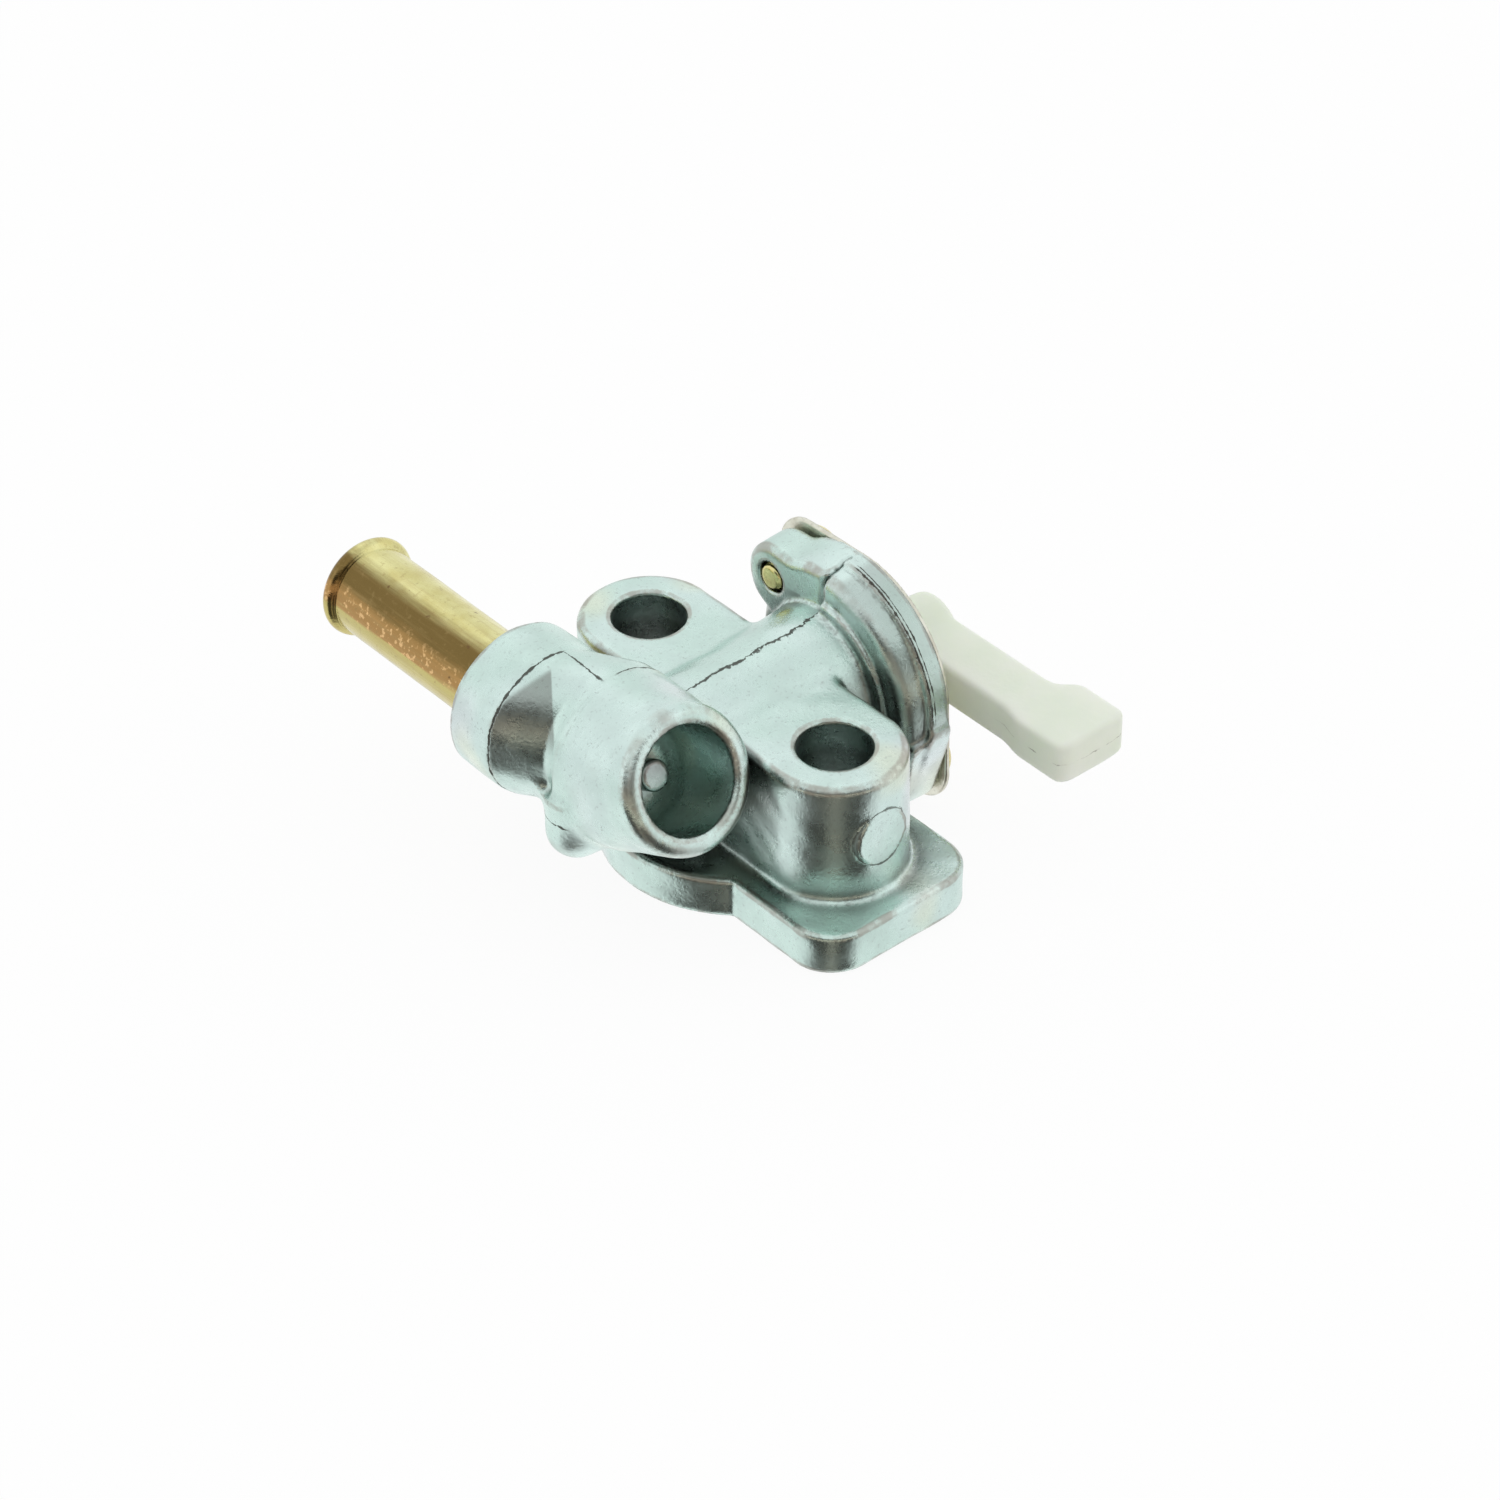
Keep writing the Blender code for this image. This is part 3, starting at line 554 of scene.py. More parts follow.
def plate_field(x, y, z):
    """Distance to the sheet: half its thickness from a surface that steps up in the middle."""
    height = z - AXIS_Z
    off_axis = np.hypot(y, height)
    rise = DOME_RISE * (1 - 1 / (1 + np.exp(-(off_axis - DOME_R) / 0.16)))
    sheet = np.abs(x - (PLATE_BACK + PLATE_FRONT) / 2 - rise) - (PLATE_FRONT - PLATE_BACK) / 2
    toward = y * math.cos(EAR_ANGLE) + height * math.sin(EAR_ANGLE)
    aside = -y * math.sin(EAR_ANGLE) + height * math.cos(EAR_ANGLE)
    outline = two_circles(np.abs(toward), aside, PLATE_R, PLATE_EAR_R, EAR_APART)
    screw_holes = np.hypot(np.abs(toward) - EAR_APART, aside) - PLATE_SCREW_HOLE_R
    holes = np.minimum(off_axis - PLATE_HOLE_R, screw_holes)
    return soft_max(soft_max(sheet * 0.75, outline, 0.15), -holes, 0.1)


plate = field_piece("cover_plate", plate_field, (13.3, -11.4, -0.3), (16.2, 11.4, 22.4), 0.17)
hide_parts("retaining_plate")
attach(plate, "tap")


# %% Screws
def ear_centre(side):
    return side * EAR_APART * math.cos(EAR_ANGLE), AXIS_Z + side * EAR_APART * math.sin(EAR_ANGLE)


HEAD_BACK = 14.6
HEAD_HEIGHT = 1.62
SHANK_R = 1.28


def screw_field(side):
    """The field of one screw, with its centre in the ear on that side."""
    cy, cz = ear_centre(side)

    def field(x, y, z):
        """Distance to a screw: a helical groove on the shank, a domed head and a tapered cross recess."""
        u, v = y - cy, z - cz
        radius = np.hypot(u, v)
        turn = np.arctan2(v, u) / (2 * math.pi)
        phase = np.abs(((x / SCREW_PITCH - turn) % 1) - 0.5) * 2
        tip = 0.32 * np.clip((SCREW_TIP_X - x) / 0.5, 0, 1)
        shank = raised(radius - SHANK_R - 0.2 * phase + tip, x, 9.4, HEAD_BACK + 0.3, 0.2)
        dome = np.hypot(np.maximum(radius - 1.2, 0), (x - HEAD_BACK) * 0.95) - 1.56
        head = np.maximum(dome, HEAD_BACK - x)
        head = soft_max(head, x - HEAD_BACK - HEAD_HEIGHT, 0.3)
        depth = np.clip(x - HEAD_BACK - 0.5, 0, 2)
        narrow, wide = 0.22 + 0.1 * depth, 0.75 + 0.45 * depth
        arm = np.minimum(np.maximum(np.abs(u) - narrow, np.abs(v) - wide),
                         np.maximum(np.abs(v) - narrow, np.abs(u) - wide))
        recess = np.maximum(arm, HEAD_BACK + 0.5 - x)
        head = soft_max(head, -recess, 0.1)
        return soft_min(shank * 0.8, head, 0.15)
    return field


for side, name in ((1, "screw_upper"), (-1, "screw_lower")):
    cy, cz = ear_centre(side)
    low, high = (9.1, cy - 3.1, cz - 3.1), (16.6, cy + 3.1, cz + 3.1)
    screw = field_piece(name + "_threaded", screw_field(side), low, high, 0.12)
    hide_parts(name)
    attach(screw, "tap")

# %% [markdown]
# ## Finishes
# Each finish is a Principled shader fed by shader node groups. One group gives the fine grain that every
# metal part has, another the grimy broken line that a mould leaves where its halves met. Patterns read
# Object coordinates, in metres, so scales are written per metre.

# %% Helpers for node trees
def value_node(tree, kind, **settings):
    node = tree.nodes.new(kind)
    for key, value in settings.items():
        setattr(node, key, value)
    return node


def plug(tree, source, socket):
    if isinstance(source, bpy.types.NodeSocket):
        tree.links.new(source, socket)
    else:
        socket.default_value = source


def maths(tree, operation, *values, clamp=False):
    node = value_node(tree, "ShaderNodeMath", operation=operation, use_clamp=clamp)
    for socket, value in zip(node.inputs, values):
        plug(tree, value, socket)
    return node.outputs[0]


def times(tree, a, b, clamp=False):
    return maths(tree, "MULTIPLY", a, b, clamp=clamp)


def plus(tree, a, b):
    return maths(tree, "ADD", a, b)


def minus(tree, a, b):
    return maths(tree, "SUBTRACT", a, b)


def remap(tree, value, low, high, to_low=0.0, to_high=1.0):
    """A smooth step from to_low at low to to_high at high."""
    node = value_node(tree, "ShaderNodeMapRange", interpolation_type="SMOOTHSTEP")
    ends = {"Value": value, "From Min": low, "From Max": high, "To Min": to_low, "To Max": to_high}
    for name, item in ends.items():
        plug(tree, item, node.inputs[name])
    return node.outputs["Result"]


def millimetres(value):
    return value * MM


def inside_range(value, low, high, ease=0.4):
    """One between low and high, in millimetres, easing to zero outside."""
    rise = remap(tree, value, millimetres(low - ease), millimetres(low + ease))
    fall = remap(tree, value, millimetres(high - ease), millimetres(high + ease), 1.0, 0.0)
    return times(tree, rise, fall)


def blend_colour(tree, factor, a, b):
    node = value_node(tree, "ShaderNodeMix", data_type="RGBA", blend_type="MIX")
    plug(tree, factor, node.inputs["Factor"])
    plug(tree, a if not isinstance(a, tuple) else (*a, 1), node.inputs["A"])
    plug(tree, b if not isinstance(b, tuple) else (*b, 1), node.inputs["B"])
    return node.outputs["Result"]


def noise(tree, scale, detail=3.0, rough=0.55, vector=None):
    node = value_node(tree, "ShaderNodeTexNoise")
    node.inputs["Scale"].default_value = scale
    node.inputs["Detail"].default_value = detail
    node.inputs["Roughness"].default_value = rough
    if vector is None:
        vector = value_node(tree, "ShaderNodeTexCoord").outputs["Object"]
    tree.links.new(vector, node.inputs["Vector"])
    return node.outputs[0]


def drift(tree, scale, rough, size, vector):
    """Noise about zero, at most half of size either way."""
    return times(tree, minus(tree, noise(tree, scale, 3.0, rough, vector), 0.5), size)


def object_place(tree):
    """Object coordinates as one vector, and its three parts."""
    vector = value_node(tree, "ShaderNodeTexCoord").outputs["Object"]
    apart = value_node(tree, "ShaderNodeSeparateXYZ")
    tree.links.new(vector, apart.inputs[0])
    return vector, apart.outputs[0], apart.outputs[1], apart.outputs[2]


def bumped(tree, height, distance):
    node = value_node(tree, "ShaderNodeBump")
    node.inputs["Distance"].default_value = distance
    node.inputs["Strength"].default_value = 1.0
    plug(tree, height, node.inputs["Height"])
    return node.outputs["Normal"]


def new_group(name, inputs, outputs):
    """A shader node group with float inputs of the given defaults and float outputs."""
    group = bpy.data.node_groups.new(name, "ShaderNodeTree")
    for label, default in inputs.items():
        socket = group.interface.new_socket(label, in_out="INPUT", socket_type="NodeSocketFloat")
        socket.default_value = default
    for label in outputs:
        group.interface.new_socket(label, in_out="OUTPUT", socket_type="NodeSocketFloat")
    return group, group.nodes.new("NodeGroupInput"), group.nodes.new("NodeGroupOutput")


def use_group(tree, group, **values):
    node = value_node(tree, "ShaderNodeGroup", node_tree=group)
    for label, value in values.items():
        plug(tree, value, node.inputs[label])
    return node


# %% Grain and grime groups
grain_inputs = {"Scale": 3000.0, "Amount": 1.0}
grain_group, grain_in, grain_out = new_group("metal_grain", grain_inputs, ["Speck", "Height"])
grain_fine = value_node(grain_group, "ShaderNodeTexNoise")
grain_coord = value_node(grain_group, "ShaderNodeTexCoord")
grain_group.links.new(grain_coord.outputs["Object"], grain_fine.inputs["Vector"])
grain_group.links.new(grain_in.outputs["Scale"], grain_fine.inputs["Scale"])
grain_fine.inputs["Detail"].default_value = 4.0
grain_fine.inputs["Roughness"].default_value = 0.6
grain_speck = remap(grain_group, grain_fine.outputs[0], 0.56, 0.74)
grain_share = times(grain_group, grain_speck, grain_in.outputs["Amount"])
grain_group.links.new(grain_share, grain_out.inputs["Speck"])
grain_group.links.new(grain_fine.outputs[0], grain_out.inputs["Height"])

seam_group, seam_in, seam_out = new_group("mould_seam", {"Distance": 1.0, "Width": 0.0002}, ["Mask"])
seam_break = noise(seam_group, 900.0, 4.0, 0.7)
seam_share = remap(seam_group, seam_break, 0.35, 0.75, 0.15, 1.7)
seam_wide = times(seam_group, seam_in.outputs["Width"], seam_share)
seam_near = maths(seam_group, "DIVIDE", maths(seam_group, "ABSOLUTE", seam_in.outputs["Distance"]), seam_wide)
seam_group.links.new(remap(seam_group, seam_near, 0.5, 1.0, 1.0, 0.0), seam_out.inputs["Mask"])
print("groups:", [g.name for g in bpy.data.node_groups])


# %% Start a material
def new_finish(name, metallic, roughness):
    finish = bpy.data.materials.new(name)
    finish.use_nodes = True
    shader = finish.node_tree.nodes["Principled BSDF"]
    shader.inputs["Metallic"].default_value = metallic
    shader.inputs["Roughness"].default_value = roughness
    return finish, finish.node_tree, shader


def dress(piece, finish):
    piece.data.materials.clear()
    piece.data.materials.append(finish)


# %% [markdown]
# ### Passivated zinc
# The casting is pale blue-green silver, with faint pink and yellow patches where the clear film is thicker.
# Edges are rubbed, their brown partly a painted dark reflection, and inside corners hold grey dirt with
# painted shade. Both come from the curvature of the field. Hollows get painted shade: the field a few
# millimetres out from the surface tells how much other metal stands in the way. All three are kept on the
# mesh as attributes.

# %% Curvature of the casting and its painted hollow shade
def surface_points(piece):
    """Vertex places in millimetres and unit normals."""
    co = np.zeros(len(piece.data.vertices) * 3, np.float32)
    normal = np.zeros_like(co)
    piece.data.vertices.foreach_get("co", co)
    piece.data.vertices.foreach_get("normal", normal)
    return co.reshape(-1, 3).astype(float) / MM, normal.reshape(-1, 3).astype(float)


def curvature(piece, field, step=0.4):
    """Sum of the field six steps around each vertex: above zero on an outer edge, below in a corner."""
    points = surface_points(piece)[0]
    total = -6 * field(*points.T)
    for axis in range(3):
        for sign in (-1, 1):
            shift = np.zeros(3)
            shift[axis] = sign * step
            total = total + field(*(points + shift).T)
    return total / step ** 2


def keep_attribute(piece, label, values):
    attribute = piece.data.attributes.new(label, "FLOAT", "POINT")
    attribute.data.foreach_set("value", values.astype(np.float32))


bend = curvature(casting_piece, casting)
# convex curvature: edge wear, and a painted dark reflection on rounded edges
keep_attribute(casting_piece, "edge_wear_and_reflection", np.clip(bend / 2.2, 0, 1))
# concave curvature: corner dirt together with painted corner shade
keep_attribute(casting_piece, "corner_dirt_and_shade", np.clip(-bend / 1.6, 0, 1))

# painted hollow shade: at five distances out, the share of free air that the field says is missing
deep = np.zeros(len(bend))
points, normals = surface_points(casting_piece)
vx, vy, vz = points.T
for reach in (0.7, 1.5, 3.0, 5.0, 8.0):
    deep += np.clip(1 - casting(*(points + normals * reach).T) / reach, 0, 1) / 5
# set amounts of painted shade in the bolt holes, down the socket bore by depth and on its stud; half on the
# back of the arm
bolt_side = np.hypot(vx, np.abs(vy) - BOLT_Y)
in_hole = np.clip((BOLT_R + 0.3 - bolt_side) / 0.3, 0, 1) * np.clip((BOSS_TOP - 0.5 - vz) / 2.5, 0, 1)
deep = np.maximum(deep, 0.62 * in_hole)
across, out, up = socket_axes(vx, vy, vz)
in_bore = (np.hypot(across, up) < BORE_R + 0.15) & (out < SOCKET_FACE - 0.4)
deep = np.where(in_bore, 0.29 + 0.018 * (SOCKET_FACE - out), deep)
on_stud = (np.hypot(across, up) < STUD_R + 0.05) & (out > SOCKET_FACE - 7) & (out < SOCKET_FACE - 4)
deep = np.where(on_stud, 0.5, deep)
arm_back = (vx > 9) & (vz > 18) & (vy > 1) & (normals[:, 0] < -0.7)
deep = np.where(arm_back, 0.5 * deep, deep)
keep_attribute(casting_piece, "painted_hollow_shade", deep)
print("shelter runs from", round(float(deep.min()), 2), "to", round(float(deep.max()), 2))
print("curvature runs from", round(float(bend.min()), 2), "to", round(float(bend.max()), 2), "per mm")

# %% Zinc material
zinc, tree, shader = new_finish("passivated_zinc", 1.0, 0.3)
coords, px, py, pz = object_place(tree)
patch = noise(tree, 110.0, 2.0, 0.5, coords)
tint = blend_colour(tree, remap(tree, patch, 0.42, 0.62), (0.60, 0.765, 0.71), (0.655, 0.80, 0.765))
pink = remap(tree, noise(tree, 75.0, 1.0, 0.5, coords), 0.56, 0.70)
tint = blend_colour(tree, times(tree, pink, 0.4), tint, (0.74, 0.68, 0.76))
gold = remap(tree, noise(tree, 95.0, 1.0, 0.5, coords), 0.58, 0.72)
tint = blend_colour(tree, times(tree, gold, 0.42), tint, (0.78, 0.78, 0.56))
cloud = noise(tree, 420.0, 5.0, 0.65, coords)
tint = blend_colour(tree, remap(tree, cloud, 0.40, 0.75, 0.0, 0.22), tint, (0.50, 0.58, 0.56))
grain = use_group(tree, grain_group, Scale=3200.0, Amount=0.5)
tint = blend_colour(tree, grain.outputs["Speck"], tint, (0.36, 0.40, 0.39))
edge = value_node(tree, "ShaderNodeAttribute", attribute_name="edge_wear_and_reflection").outputs["Fac"]
corner = value_node(tree, "ShaderNodeAttribute", attribute_name="corner_dirt_and_shade").outputs["Fac"]
# rubbed edges turn brown-grey: wear, and partly a painted dark edge reflection
rub_and_edge_reflection = times(tree, remap(tree, edge, 0.22, 0.6), remap(tree, cloud, 0.35, 0.6), clamp=True)
tint = blend_colour(tree, times(tree, rub_and_edge_reflection, 0.6), tint, (0.34, 0.29, 0.25))
# painted shade in hollows, darker and greyer where the field says they are sheltered
shelter = value_node(tree, "ShaderNodeAttribute", attribute_name="painted_hollow_shade").outputs["Fac"]
tint = blend_colour(tree, remap(tree, shelter, 0.26, 0.72, 0.0, 0.7), tint, (0.14, 0.135, 0.13))
# inside corners darken: dirt broken by dust noise, and painted corner shade
dust = remap(tree, noise(tree, 1500.0, 3.0, 0.6, coords), 0.4, 0.7)
dirt_and_corner_shade = times(tree, remap(tree, corner, 0.3, 1.0), dust)
tint = blend_colour(tree, times(tree, dirt_and_corner_shade, 0.5), tint, (0.12, 0.11, 0.10))

# the line that the mould halves left wanders a little, in slow and in quick bends
slow = drift(tree, 240.0, 0.6, millimetres(0.9), coords)
quick = drift(tree, 1100.0, 0.7, millimetres(0.9), coords)
wander = plus(tree, slow, quick)


def parting(across, where, width):
    """Mask of one stretch of the parting line: near zero of across, inside the mask where."""
    line = use_group(tree, seam_group, Distance=across, Width=millimetres(width))
    return times(tree, line.outputs["Mask"], where)


def past(value, low, high):
    """Zero before low and one past high, in millimetres, or the other way round when high is less."""
    if high > low:
        return remap(tree, value, millimetres(low), millimetres(high))
    return remap(tree, value, millimetres(high), millimetres(low), 1.0, 0.0)


def both(*masks):
    """The product of masks: one only where all of them are."""
    result = masks[0]
    for mask in masks[1:]:
        result = times(tree, result, mask)
    return result


def off(value, middle, share):
    """Distance of a coordinate from a middle in millimetres, with a share of the wander added."""
    shifted = minus(tree, value, millimetres(middle))
    return plus(tree, shifted, times(tree, wander, share))


on_top = past(pz, 15.5, 16.5)
on_cup_line = both(past(py, -1.2, -1.6), past(pz, 11.0, 12.0))
stretches = [
    parting(off(py, 0, 1.0), both(on_top, inside_range(px, -6.2, 9.0)), 0.2),
    parting(off(py, COLLAR_BACK, 0.15), past(px, -13.6, -14.2), 0.15),
    parting(off(px, -14.0, 0.4), both(on_top, inside_range(py, 0.94, 5.94)), 0.12),
    parting(off(py, 0.7, 0.5), both(past(pz, 19.5, 20.0), inside_range(px, -12.6, -8.2)), 0.13),
    parting(off(pz, 10.6, 0.5), both(past(px, -17.5, -18.0), inside_range(py, -1.2, 4.4)), 0.13),
    parting(off(px, 11.62, 0.12), on_cup_line, 0.13),
    parting(off(px, 11.95, 0.12), on_cup_line, 0.09)]
seam = stretches[0]
for stretch in stretches[1:]:
    seam = maths(tree, "MAXIMUM", seam, stretch)

# painted shade: the scoop between collar and gallery is darkened up to where two planes cut it off
scoop_side = minus(tree, times(tree, px, 0.797), times(tree, py, 0.604))
scoop_top = plus(tree, py, times(tree, pz, 0.6))
scoop_painted_shade = both(past(scoop_side, -15.74, -15.9), past(scoop_top, 18.3, 17.6), past(py, 5.95, 5.8),
             past(py, 0.9, 1.1), past(pz, 16.5, 18.5))
tint = blend_colour(tree, times(tree, scoop_painted_shade, 0.6), tint, (0.17, 0.165, 0.15))

# painted shade darkens the -Y half of the band round the cup, which has two fine dark lines where it meets
# the flange
cup_side_painted_shade = both(past(py, -1.2, -2.0), past(px, 8.6, 9.2), past(pz, 9.5, 10.5))
tint = blend_colour(tree, times(tree, cup_side_painted_shade, 0.3), tint, (0.26, 0.27, 0.25))

# the round pad on the boss has a dark rim
pad_x = maths(tree, "POWER", minus(tree, px, millimetres(PAD_X)), 2.0)
pad_z = maths(tree, "POWER", minus(tree, pz, millimetres(PAD_Z)), 2.0)
pad_off = minus(tree, maths(tree, "SQRT", plus(tree, pad_x, pad_z)), millimetres(PAD_R))
pad_line = use_group(tree, seam_group, Distance=pad_off, Width=millimetres(0.16))
pad_rim = times(tree, pad_line.outputs["Mask"], remap(tree, py, millimetres(-16.5), millimetres(-17)))
seam = maths(tree, "MAXIMUM", seam, times(tree, pad_rim, 0.75))
tint = blend_colour(tree, times(tree, seam, 0.85), tint, (0.07, 0.06, 0.05))
tree.links.new(tint, shader.inputs["Base Color"])
gloss = remap(tree, cloud, 0.3, 0.7, 0.22, 0.36)
tree.links.new(plus(tree, gloss, times(tree, seam, 0.4)), shader.inputs["Roughness"])
height = plus(tree, times(tree, grain.outputs["Height"], 0.5), times(tree, cloud, 0.9))
height = minus(tree, height, times(tree, seam, 1.2))
tree.links.new(bumped(tree, height, 0.00006), shader.inputs["Normal"])
dress(casting_piece, zinc)
print(zinc.name, "has", len(tree.nodes), "nodes and", len(stretches), "seam lines")

# %% [markdown]
# ### Brass
# The tube is drawn, so its fine streaks run along it. Its upper side is clean and yellow. Going down the side
# towards the viewer come a painted dark reflection, then a coppery one with painted glints, then painted
# olive shade.

# %% Brass material
brass, tree, shader = new_finish("drawn_brass", 1.0, 0.2)
coords, px, _, pz = object_place(tree)
draw = value_node(tree, "ShaderNodeMapping")
draw.inputs["Scale"].default_value = (1, 0.06, 1)
tree.links.new(coords, draw.inputs["Vector"])
streak = noise(tree, 1800.0, 4.0, 0.6, draw.outputs[0])
cloud = noise(tree, 260.0, 4.0, 0.6, coords)
side = minus(tree, millimetres(TUBE_X), px)
rise = minus(tree, pz, millimetres(PIPE_Z))
ragged = times(tree, minus(tree, noise(tree, 700.0, 4.0, 0.6, draw.outputs[0]), 0.5), 0.75)
round_angle = plus(tree, maths(tree, "ARCTAN2", side, rise), ragged)
tint = blend_colour(tree, remap(tree, cloud, 0.35, 0.68), (0.76, 0.73, 0.36), (0.64, 0.58, 0.24))
# painted dark reflection: a band along the tube, placed by angle about its axis
painted_dark_reflection = remap(tree, round_angle, math.radians(4), math.radians(26))
tint = blend_colour(tree, painted_dark_reflection, tint, (0.20, 0.135, 0.045))
# painted reflection: a coppery band below the dark one
painted_copper_reflection = remap(tree, round_angle, math.radians(50), math.radians(66))
tint = blend_colour(tree, painted_copper_reflection, tint, (0.44, 0.26, 0.095))
# painted shade: the lower side of the tube turns a darker olive
painted_olive_shade = remap(tree, round_angle, math.radians(73), math.radians(84))
tint = blend_colour(tree, painted_olive_shade, tint, (0.55, 0.48, 0.18))
tint = blend_colour(tree, remap(tree, streak, 0.5, 0.75, 0.0, 0.35), tint, (0.42, 0.30, 0.13))
grain = use_group(tree, grain_group, Scale=1700.0, Amount=0.5)
tint = blend_colour(tree, grain.outputs["Speck"], tint, (0.34, 0.24, 0.10))
# painted glints, only inside the coppery band
painted_glints = remap(tree, noise(tree, 1900.0, 3.0, 0.6, coords), 0.54, 0.64)
band = times(tree, painted_copper_reflection, minus(tree, 1.0, painted_olive_shade))
painted_glints = times(tree, painted_glints, times(tree, band, 0.7))
tint = blend_colour(tree, painted_glints, tint, (0.95, 0.62, 0.30))
spot = remap(tree, noise(tree, 900.0, 2.0, 0.5, coords), 0.71, 0.76)
tint = blend_colour(tree, times(tree, spot, 0.7), tint, (0.16, 0.09, 0.04))
tree.links.new(tint, shader.inputs["Base Color"])
tree.links.new(remap(tree, cloud, 0.3, 0.7, 0.14, 0.26), shader.inputs["Roughness"])
height = plus(tree, times(tree, streak, 0.8), times(tree, cloud, 0.8))
tree.links.new(bumped(tree, height, 0.00005), shader.inputs["Normal"])
dress(tube, brass)
print(brass.name, "has", len(tree.nodes), "nodes")

# %% [markdown]
# ### Nylon, steel and rubber
# The nylon lets a little light in under its skin, and a fine seam runs round the tip of the handle. The
# plated steels share one function, and so do the two rubbers.

# %% Nylon material
nylon, tree, shader = new_finish("natural_nylon", 0.0, 0.42)
coords, _, py, pz = object_place(tree)
cloud = noise(tree, 120.0, 3.0, 0.5, coords)
tint = blend_colour(tree, remap(tree, cloud, 0.35, 0.65), (0.80, 0.86, 0.74), (0.86, 0.89, 0.80))
wander = drift(tree, 420.0, 0.6, millimetres(0.9), coords)
middle = plus(tree, minus(tree, pz, millimetres(AXIS_Z)), wander)
line = use_group(tree, seam_group, Distance=middle, Width=millimetres(0.1))
near_tip = remap(tree, py, millimetres(-12.0), millimetres(-20.0))
broken = remap(tree, noise(tree, 700.0, 2.0, 0.6, coords), 0.45, 0.6)
seam = times(tree, line.outputs["Mask"], times(tree, near_tip, broken))
tint = blend_colour(tree, times(tree, seam, 0.7), tint, (0.25, 0.23, 0.18))
tree.links.new(tint, shader.inputs["Base Color"])
shader.inputs["Subsurface Weight"].default_value = 0.35
shader.inputs["Subsurface Radius"].default_value = (0.0022, 0.0024, 0.0018)
shader.inputs["Subsurface Scale"].default_value = 1.0
grain = use_group(tree, grain_group, Scale=1500.0, Amount=0.3)
height = plus(tree, grain.outputs["Height"], times(tree, seam, -1.0))
tree.links.new(bumped(tree, height, 0.00003), shader.inputs["Normal"])
dress(lever_piece, nylon)
print(nylon.name, "has", len(tree.nodes), "nodes")


# %% Plated steel of the plate, screws and spring
def plated_steel(name, colour, worn, roughness):
    """Two plating colours mixed by cloud noise, with the shared grain in colour and height."""
    finish, tree, shader = new_finish(name, 1.0, roughness)
    cloud = noise(tree, 500.0, 4.0, 0.6)
    tint = blend_colour(tree, remap(tree, cloud, 0.4, 0.65), colour, worn)
    grain = use_group(tree, grain_group, Scale=2400.0, Amount=0.4)
    tint = blend_colour(tree, grain.outputs["Speck"], tint, tuple(0.5 * c for c in worn))
    tree.links.new(tint, shader.inputs["Base Color"])
    tree.links.new(bumped(tree, grain.outputs["Height"], 0.00003), shader.inputs["Normal"])
    return finish


dress(plate, plated_steel("plated_sheet_steel", (0.76, 0.76, 0.66), (0.62, 0.60, 0.50), 0.28))
yellow_zinc = plated_steel("yellow_zinc_steel", (0.80, 0.76, 0.36), (0.66, 0.56, 0.26), 0.25)
for name in ("screw_upper_threaded", "screw_lower_threaded"):
    dress(bpy.data.objects[name], yellow_zinc)
spring_steel = plated_steel("spring_steel_strip", (0.55, 0.55, 0.54), (0.4, 0.4, 0.4), 0.3)
dress(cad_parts["wave_washer"], spring_steel)
print("steel finishes:", [m.name for m in bpy.data.materials if "steel" in m.name])


# %% Rubber of the seal and ring
def rubber(name, colour):
    finish, tree, shader = new_finish(name, 0.0, 0.6)
    dust = noise(tree, 900.0, 4.0, 0.6)
    tint = blend_colour(tree, remap(tree, dust, 0.45, 0.75), colour, tuple(2.2 * c for c in colour))
    tree.links.new(tint, shader.inputs["Base Color"])
    tree.links.new(bumped(tree, dust, 0.00004), shader.inputs["Normal"])
    return finish


dress(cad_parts["valve_seal"], rubber("seal_rubber_black", (0.03, 0.03, 0.03)))
dress(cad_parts["cup_ring"], rubber("ring_rubber_black", (0.04, 0.035, 0.035)))
print("rubber finishes:", [m.name for m in bpy.data.materials if "rubber" in m.name])

# %% [markdown]
# ## Camera, floor and light
# The camera stands where the photograph's stood, worked out from the flange, bosses and valve axis. The
# light is an even white tent. Low down on the camera's side the tent is open, and that gap is what
# darkens the walls that face the camera.

# %% Camera
CAMERA_AZIMUTH = math.radians(-130.324)
CAMERA_ELEVATION = math.radians(38.054)
CAMERA_ROLL = math.radians(-0.475)
CAMERA_DISTANCE = 381.667
CAMERA_TARGET = Vector((-0.181, -1.42, 9.0))
FOCAL_PIXELS = 4507.39
PHOTO_PIXELS = 1500
SENSOR = 36.0
toward = Vector((math.cos(CAMERA_ELEVATION) * math.cos(CAMERA_AZIMUTH),
                 math.cos(CAMERA_ELEVATION) * math.sin(CAMERA_AZIMUTH), math.sin(CAMERA_ELEVATION)))
right = Vector((0, 0, 1)).cross(toward).normalized()
up = toward.cross(right)
turned_right = right * math.cos(CAMERA_ROLL) + up * math.sin(CAMERA_ROLL)
turned_up = up * math.cos(CAMERA_ROLL) - right * math.sin(CAMERA_ROLL)
camera = bpy.data.objects.new("camera", bpy.data.cameras.new("camera"))
bpy.context.scene.collection.objects.link(camera)
place = camera.matrix_world.copy()
for row in range(3):
    place[row][0], place[row][1], place[row][2] = turned_right[row], turned_up[row], toward[row]
    place[row][3] = (CAMERA_TARGET + toward * CAMERA_DISTANCE)[row] * MM
camera.matrix_world = place
camera.data.sensor_width = SENSOR
camera.data.lens = FOCAL_PIXELS / PHOTO_PIXELS * SENSOR
camera.data.clip_start = 0.01
bpy.context.scene.camera = camera
print("camera stands at", [round(v, 1) for v in CAMERA_TARGET + toward * CAMERA_DISTANCE], "mm")

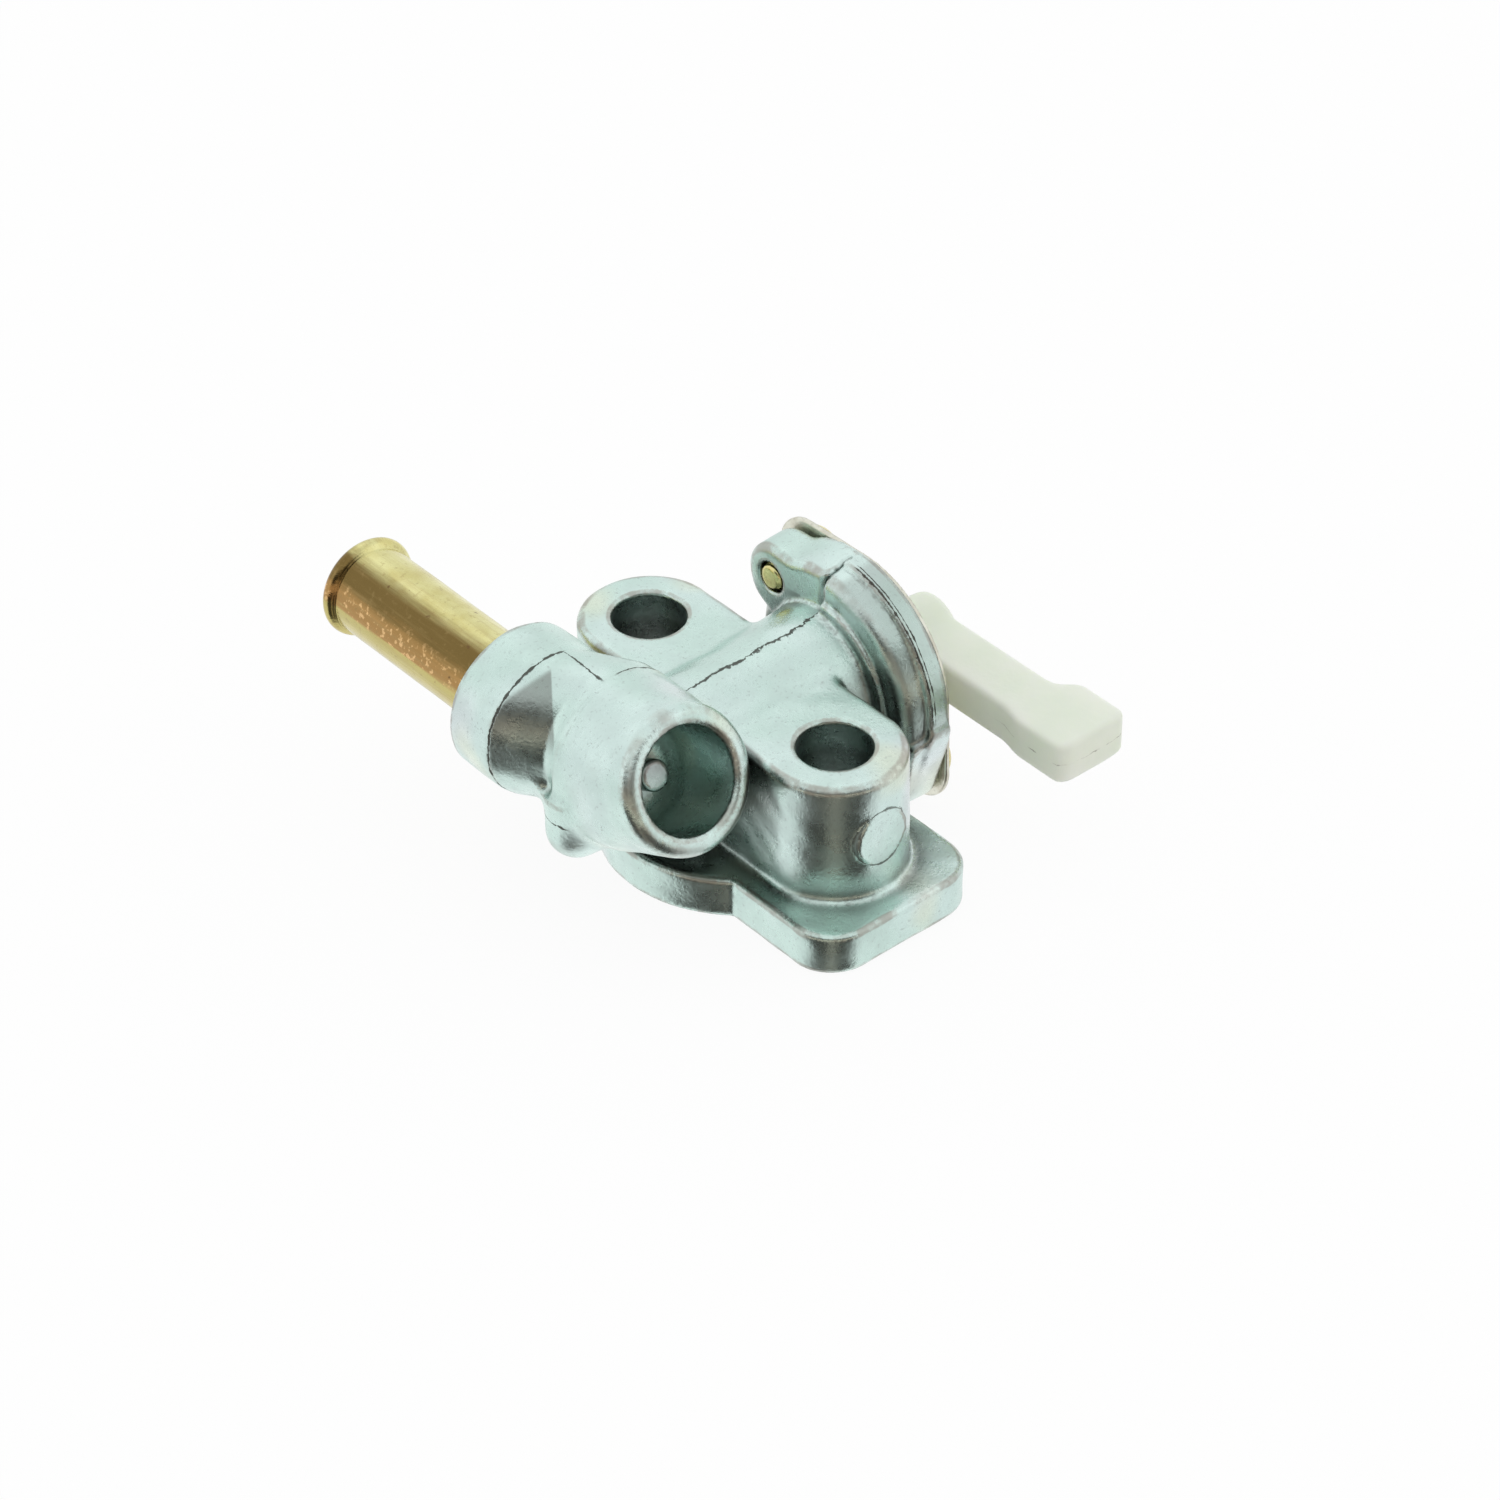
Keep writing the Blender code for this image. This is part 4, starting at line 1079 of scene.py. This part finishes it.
# %% Floor
FLOOR_HALF = 1500.0
FLOOR_Z = -0.02
floor_corners = [(-FLOOR_HALF, -FLOOR_HALF, FLOOR_Z), (FLOOR_HALF, -FLOOR_HALF, FLOOR_Z),
                 (FLOOR_HALF, FLOOR_HALF, FLOOR_Z), (-FLOOR_HALF, FLOOR_HALF, FLOOR_Z)]
floor = mesh_piece("floor", floor_corners, [(0, 1, 2, 3)])
floor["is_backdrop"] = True
paper, tree, shader = new_finish("white_paper", 0.0, 1.0)
shader.inputs["Base Color"].default_value = (0.985, 0.985, 0.985, 1)
shader.inputs["Specular IOR Level"].default_value = 0.0
ray = value_node(tree, "ShaderNodeLightPath")
clear = value_node(tree, "ShaderNodeBsdfTransparent")
lamp = value_node(tree, "ShaderNodeEmission")
lamp.inputs["Color"].default_value = (1, 1, 1, 1)
soften = value_node(tree, "ShaderNodeMixShader")
tree.links.new(times(tree, ray.outputs["Is Camera Ray"], 0.93), soften.inputs[0])
tree.links.new(shader.outputs[0], soften.inputs[1])
tree.links.new(lamp.outputs[0], soften.inputs[2])
choose = value_node(tree, "ShaderNodeMixShader")
tree.links.new(ray.outputs["Is Glossy Ray"], choose.inputs[0])
tree.links.new(soften.outputs[0], choose.inputs[1])
tree.links.new(clear.outputs[0], choose.inputs[2])
tree.links.new(choose.outputs[0], tree.nodes["Material Output"].inputs["Surface"])
dress(floor, paper)
print("floor lies at", FLOOR_Z, "mm")

# %% World
world = bpy.data.worlds.new("white_tent")
world.use_nodes = True
bpy.context.scene.world = world
tree = world.node_tree
background = tree.nodes["Background"]
sky = value_node(tree, "ShaderNodeTexCoord").outputs["Generated"]
level = value_node(tree, "ShaderNodeVectorRotate", rotation_type="Z_AXIS")
level.inputs["Angle"].default_value = -CAMERA_AZIMUTH
tree.links.new(sky, level.inputs["Vector"])
axes = value_node(tree, "ShaderNodeSeparateXYZ")
tree.links.new(level.outputs[0], axes.inputs[0])
swing = maths(tree, "ABSOLUTE", maths(tree, "ARCTAN2", axes.outputs[1], axes.outputs[0]))
height = maths(tree, "ARCSINE", axes.outputs[2])
gap_side = remap(tree, swing, math.radians(46), math.radians(64), 1.0, 0.0)
gap_top = remap(tree, height, math.radians(26), math.radians(46), 1.0, 0.0)
gap_foot = remap(tree, height, math.radians(-72), math.radians(-52), 0.0, 1.0)
gap = times(tree, gap_side, times(tree, gap_top, gap_foot))
stripe = remap(tree, swing, math.radians(3), math.radians(14), 1.0, 0.0)
shelf = remap(tree, maths(tree, "ABSOLUTE", minus(tree, height, math.radians(2))),
              math.radians(3), math.radians(12), 1.0, 0.0)
warm = maths(tree, "MAXIMUM", times(tree, stripe, 0.35), shelf)
dark = blend_colour(tree, warm, (0.07, 0.065, 0.06), (0.85, 0.72, 0.60))
fold = noise(tree, 1.6, 2.0, 0.5, level.outputs[0])
cloth = blend_colour(tree, remap(tree, fold, 0.35, 0.65), (0.90, 0.91, 0.91), (1.10, 1.10, 1.10))
tent = blend_colour(tree, gap, cloth, dark)
tree.links.new(tent, background.inputs["Color"])
clean = value_node(tree, "ShaderNodeBackground")
mixer = value_node(tree, "ShaderNodeMixShader")
ray = value_node(tree, "ShaderNodeLightPath")
tree.links.new(ray.outputs["Is Camera Ray"], mixer.inputs[0])
tree.links.new(background.outputs[0], mixer.inputs[1])
clean.inputs["Color"].default_value = (1, 1, 1, 1)
tree.links.new(clean.outputs[0], mixer.inputs[2])
tree.links.new(mixer.outputs[0], tree.nodes["World Output"].inputs["Surface"])
bpy.context.scene.view_settings.view_transform = "Standard"
print(world.name, "has", len(tree.nodes), "nodes")

# %% Sizes and finish
visual_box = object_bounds()
boxes = {"cad": [[float(v) for v in corner] for corner in cad_box],
         "visual": [[float(v) for v in corner] for corner in visual_box]}
print("visual box, mm:", [[round(v / MM, 2) for v in corner] for corner in boxes["visual"]])
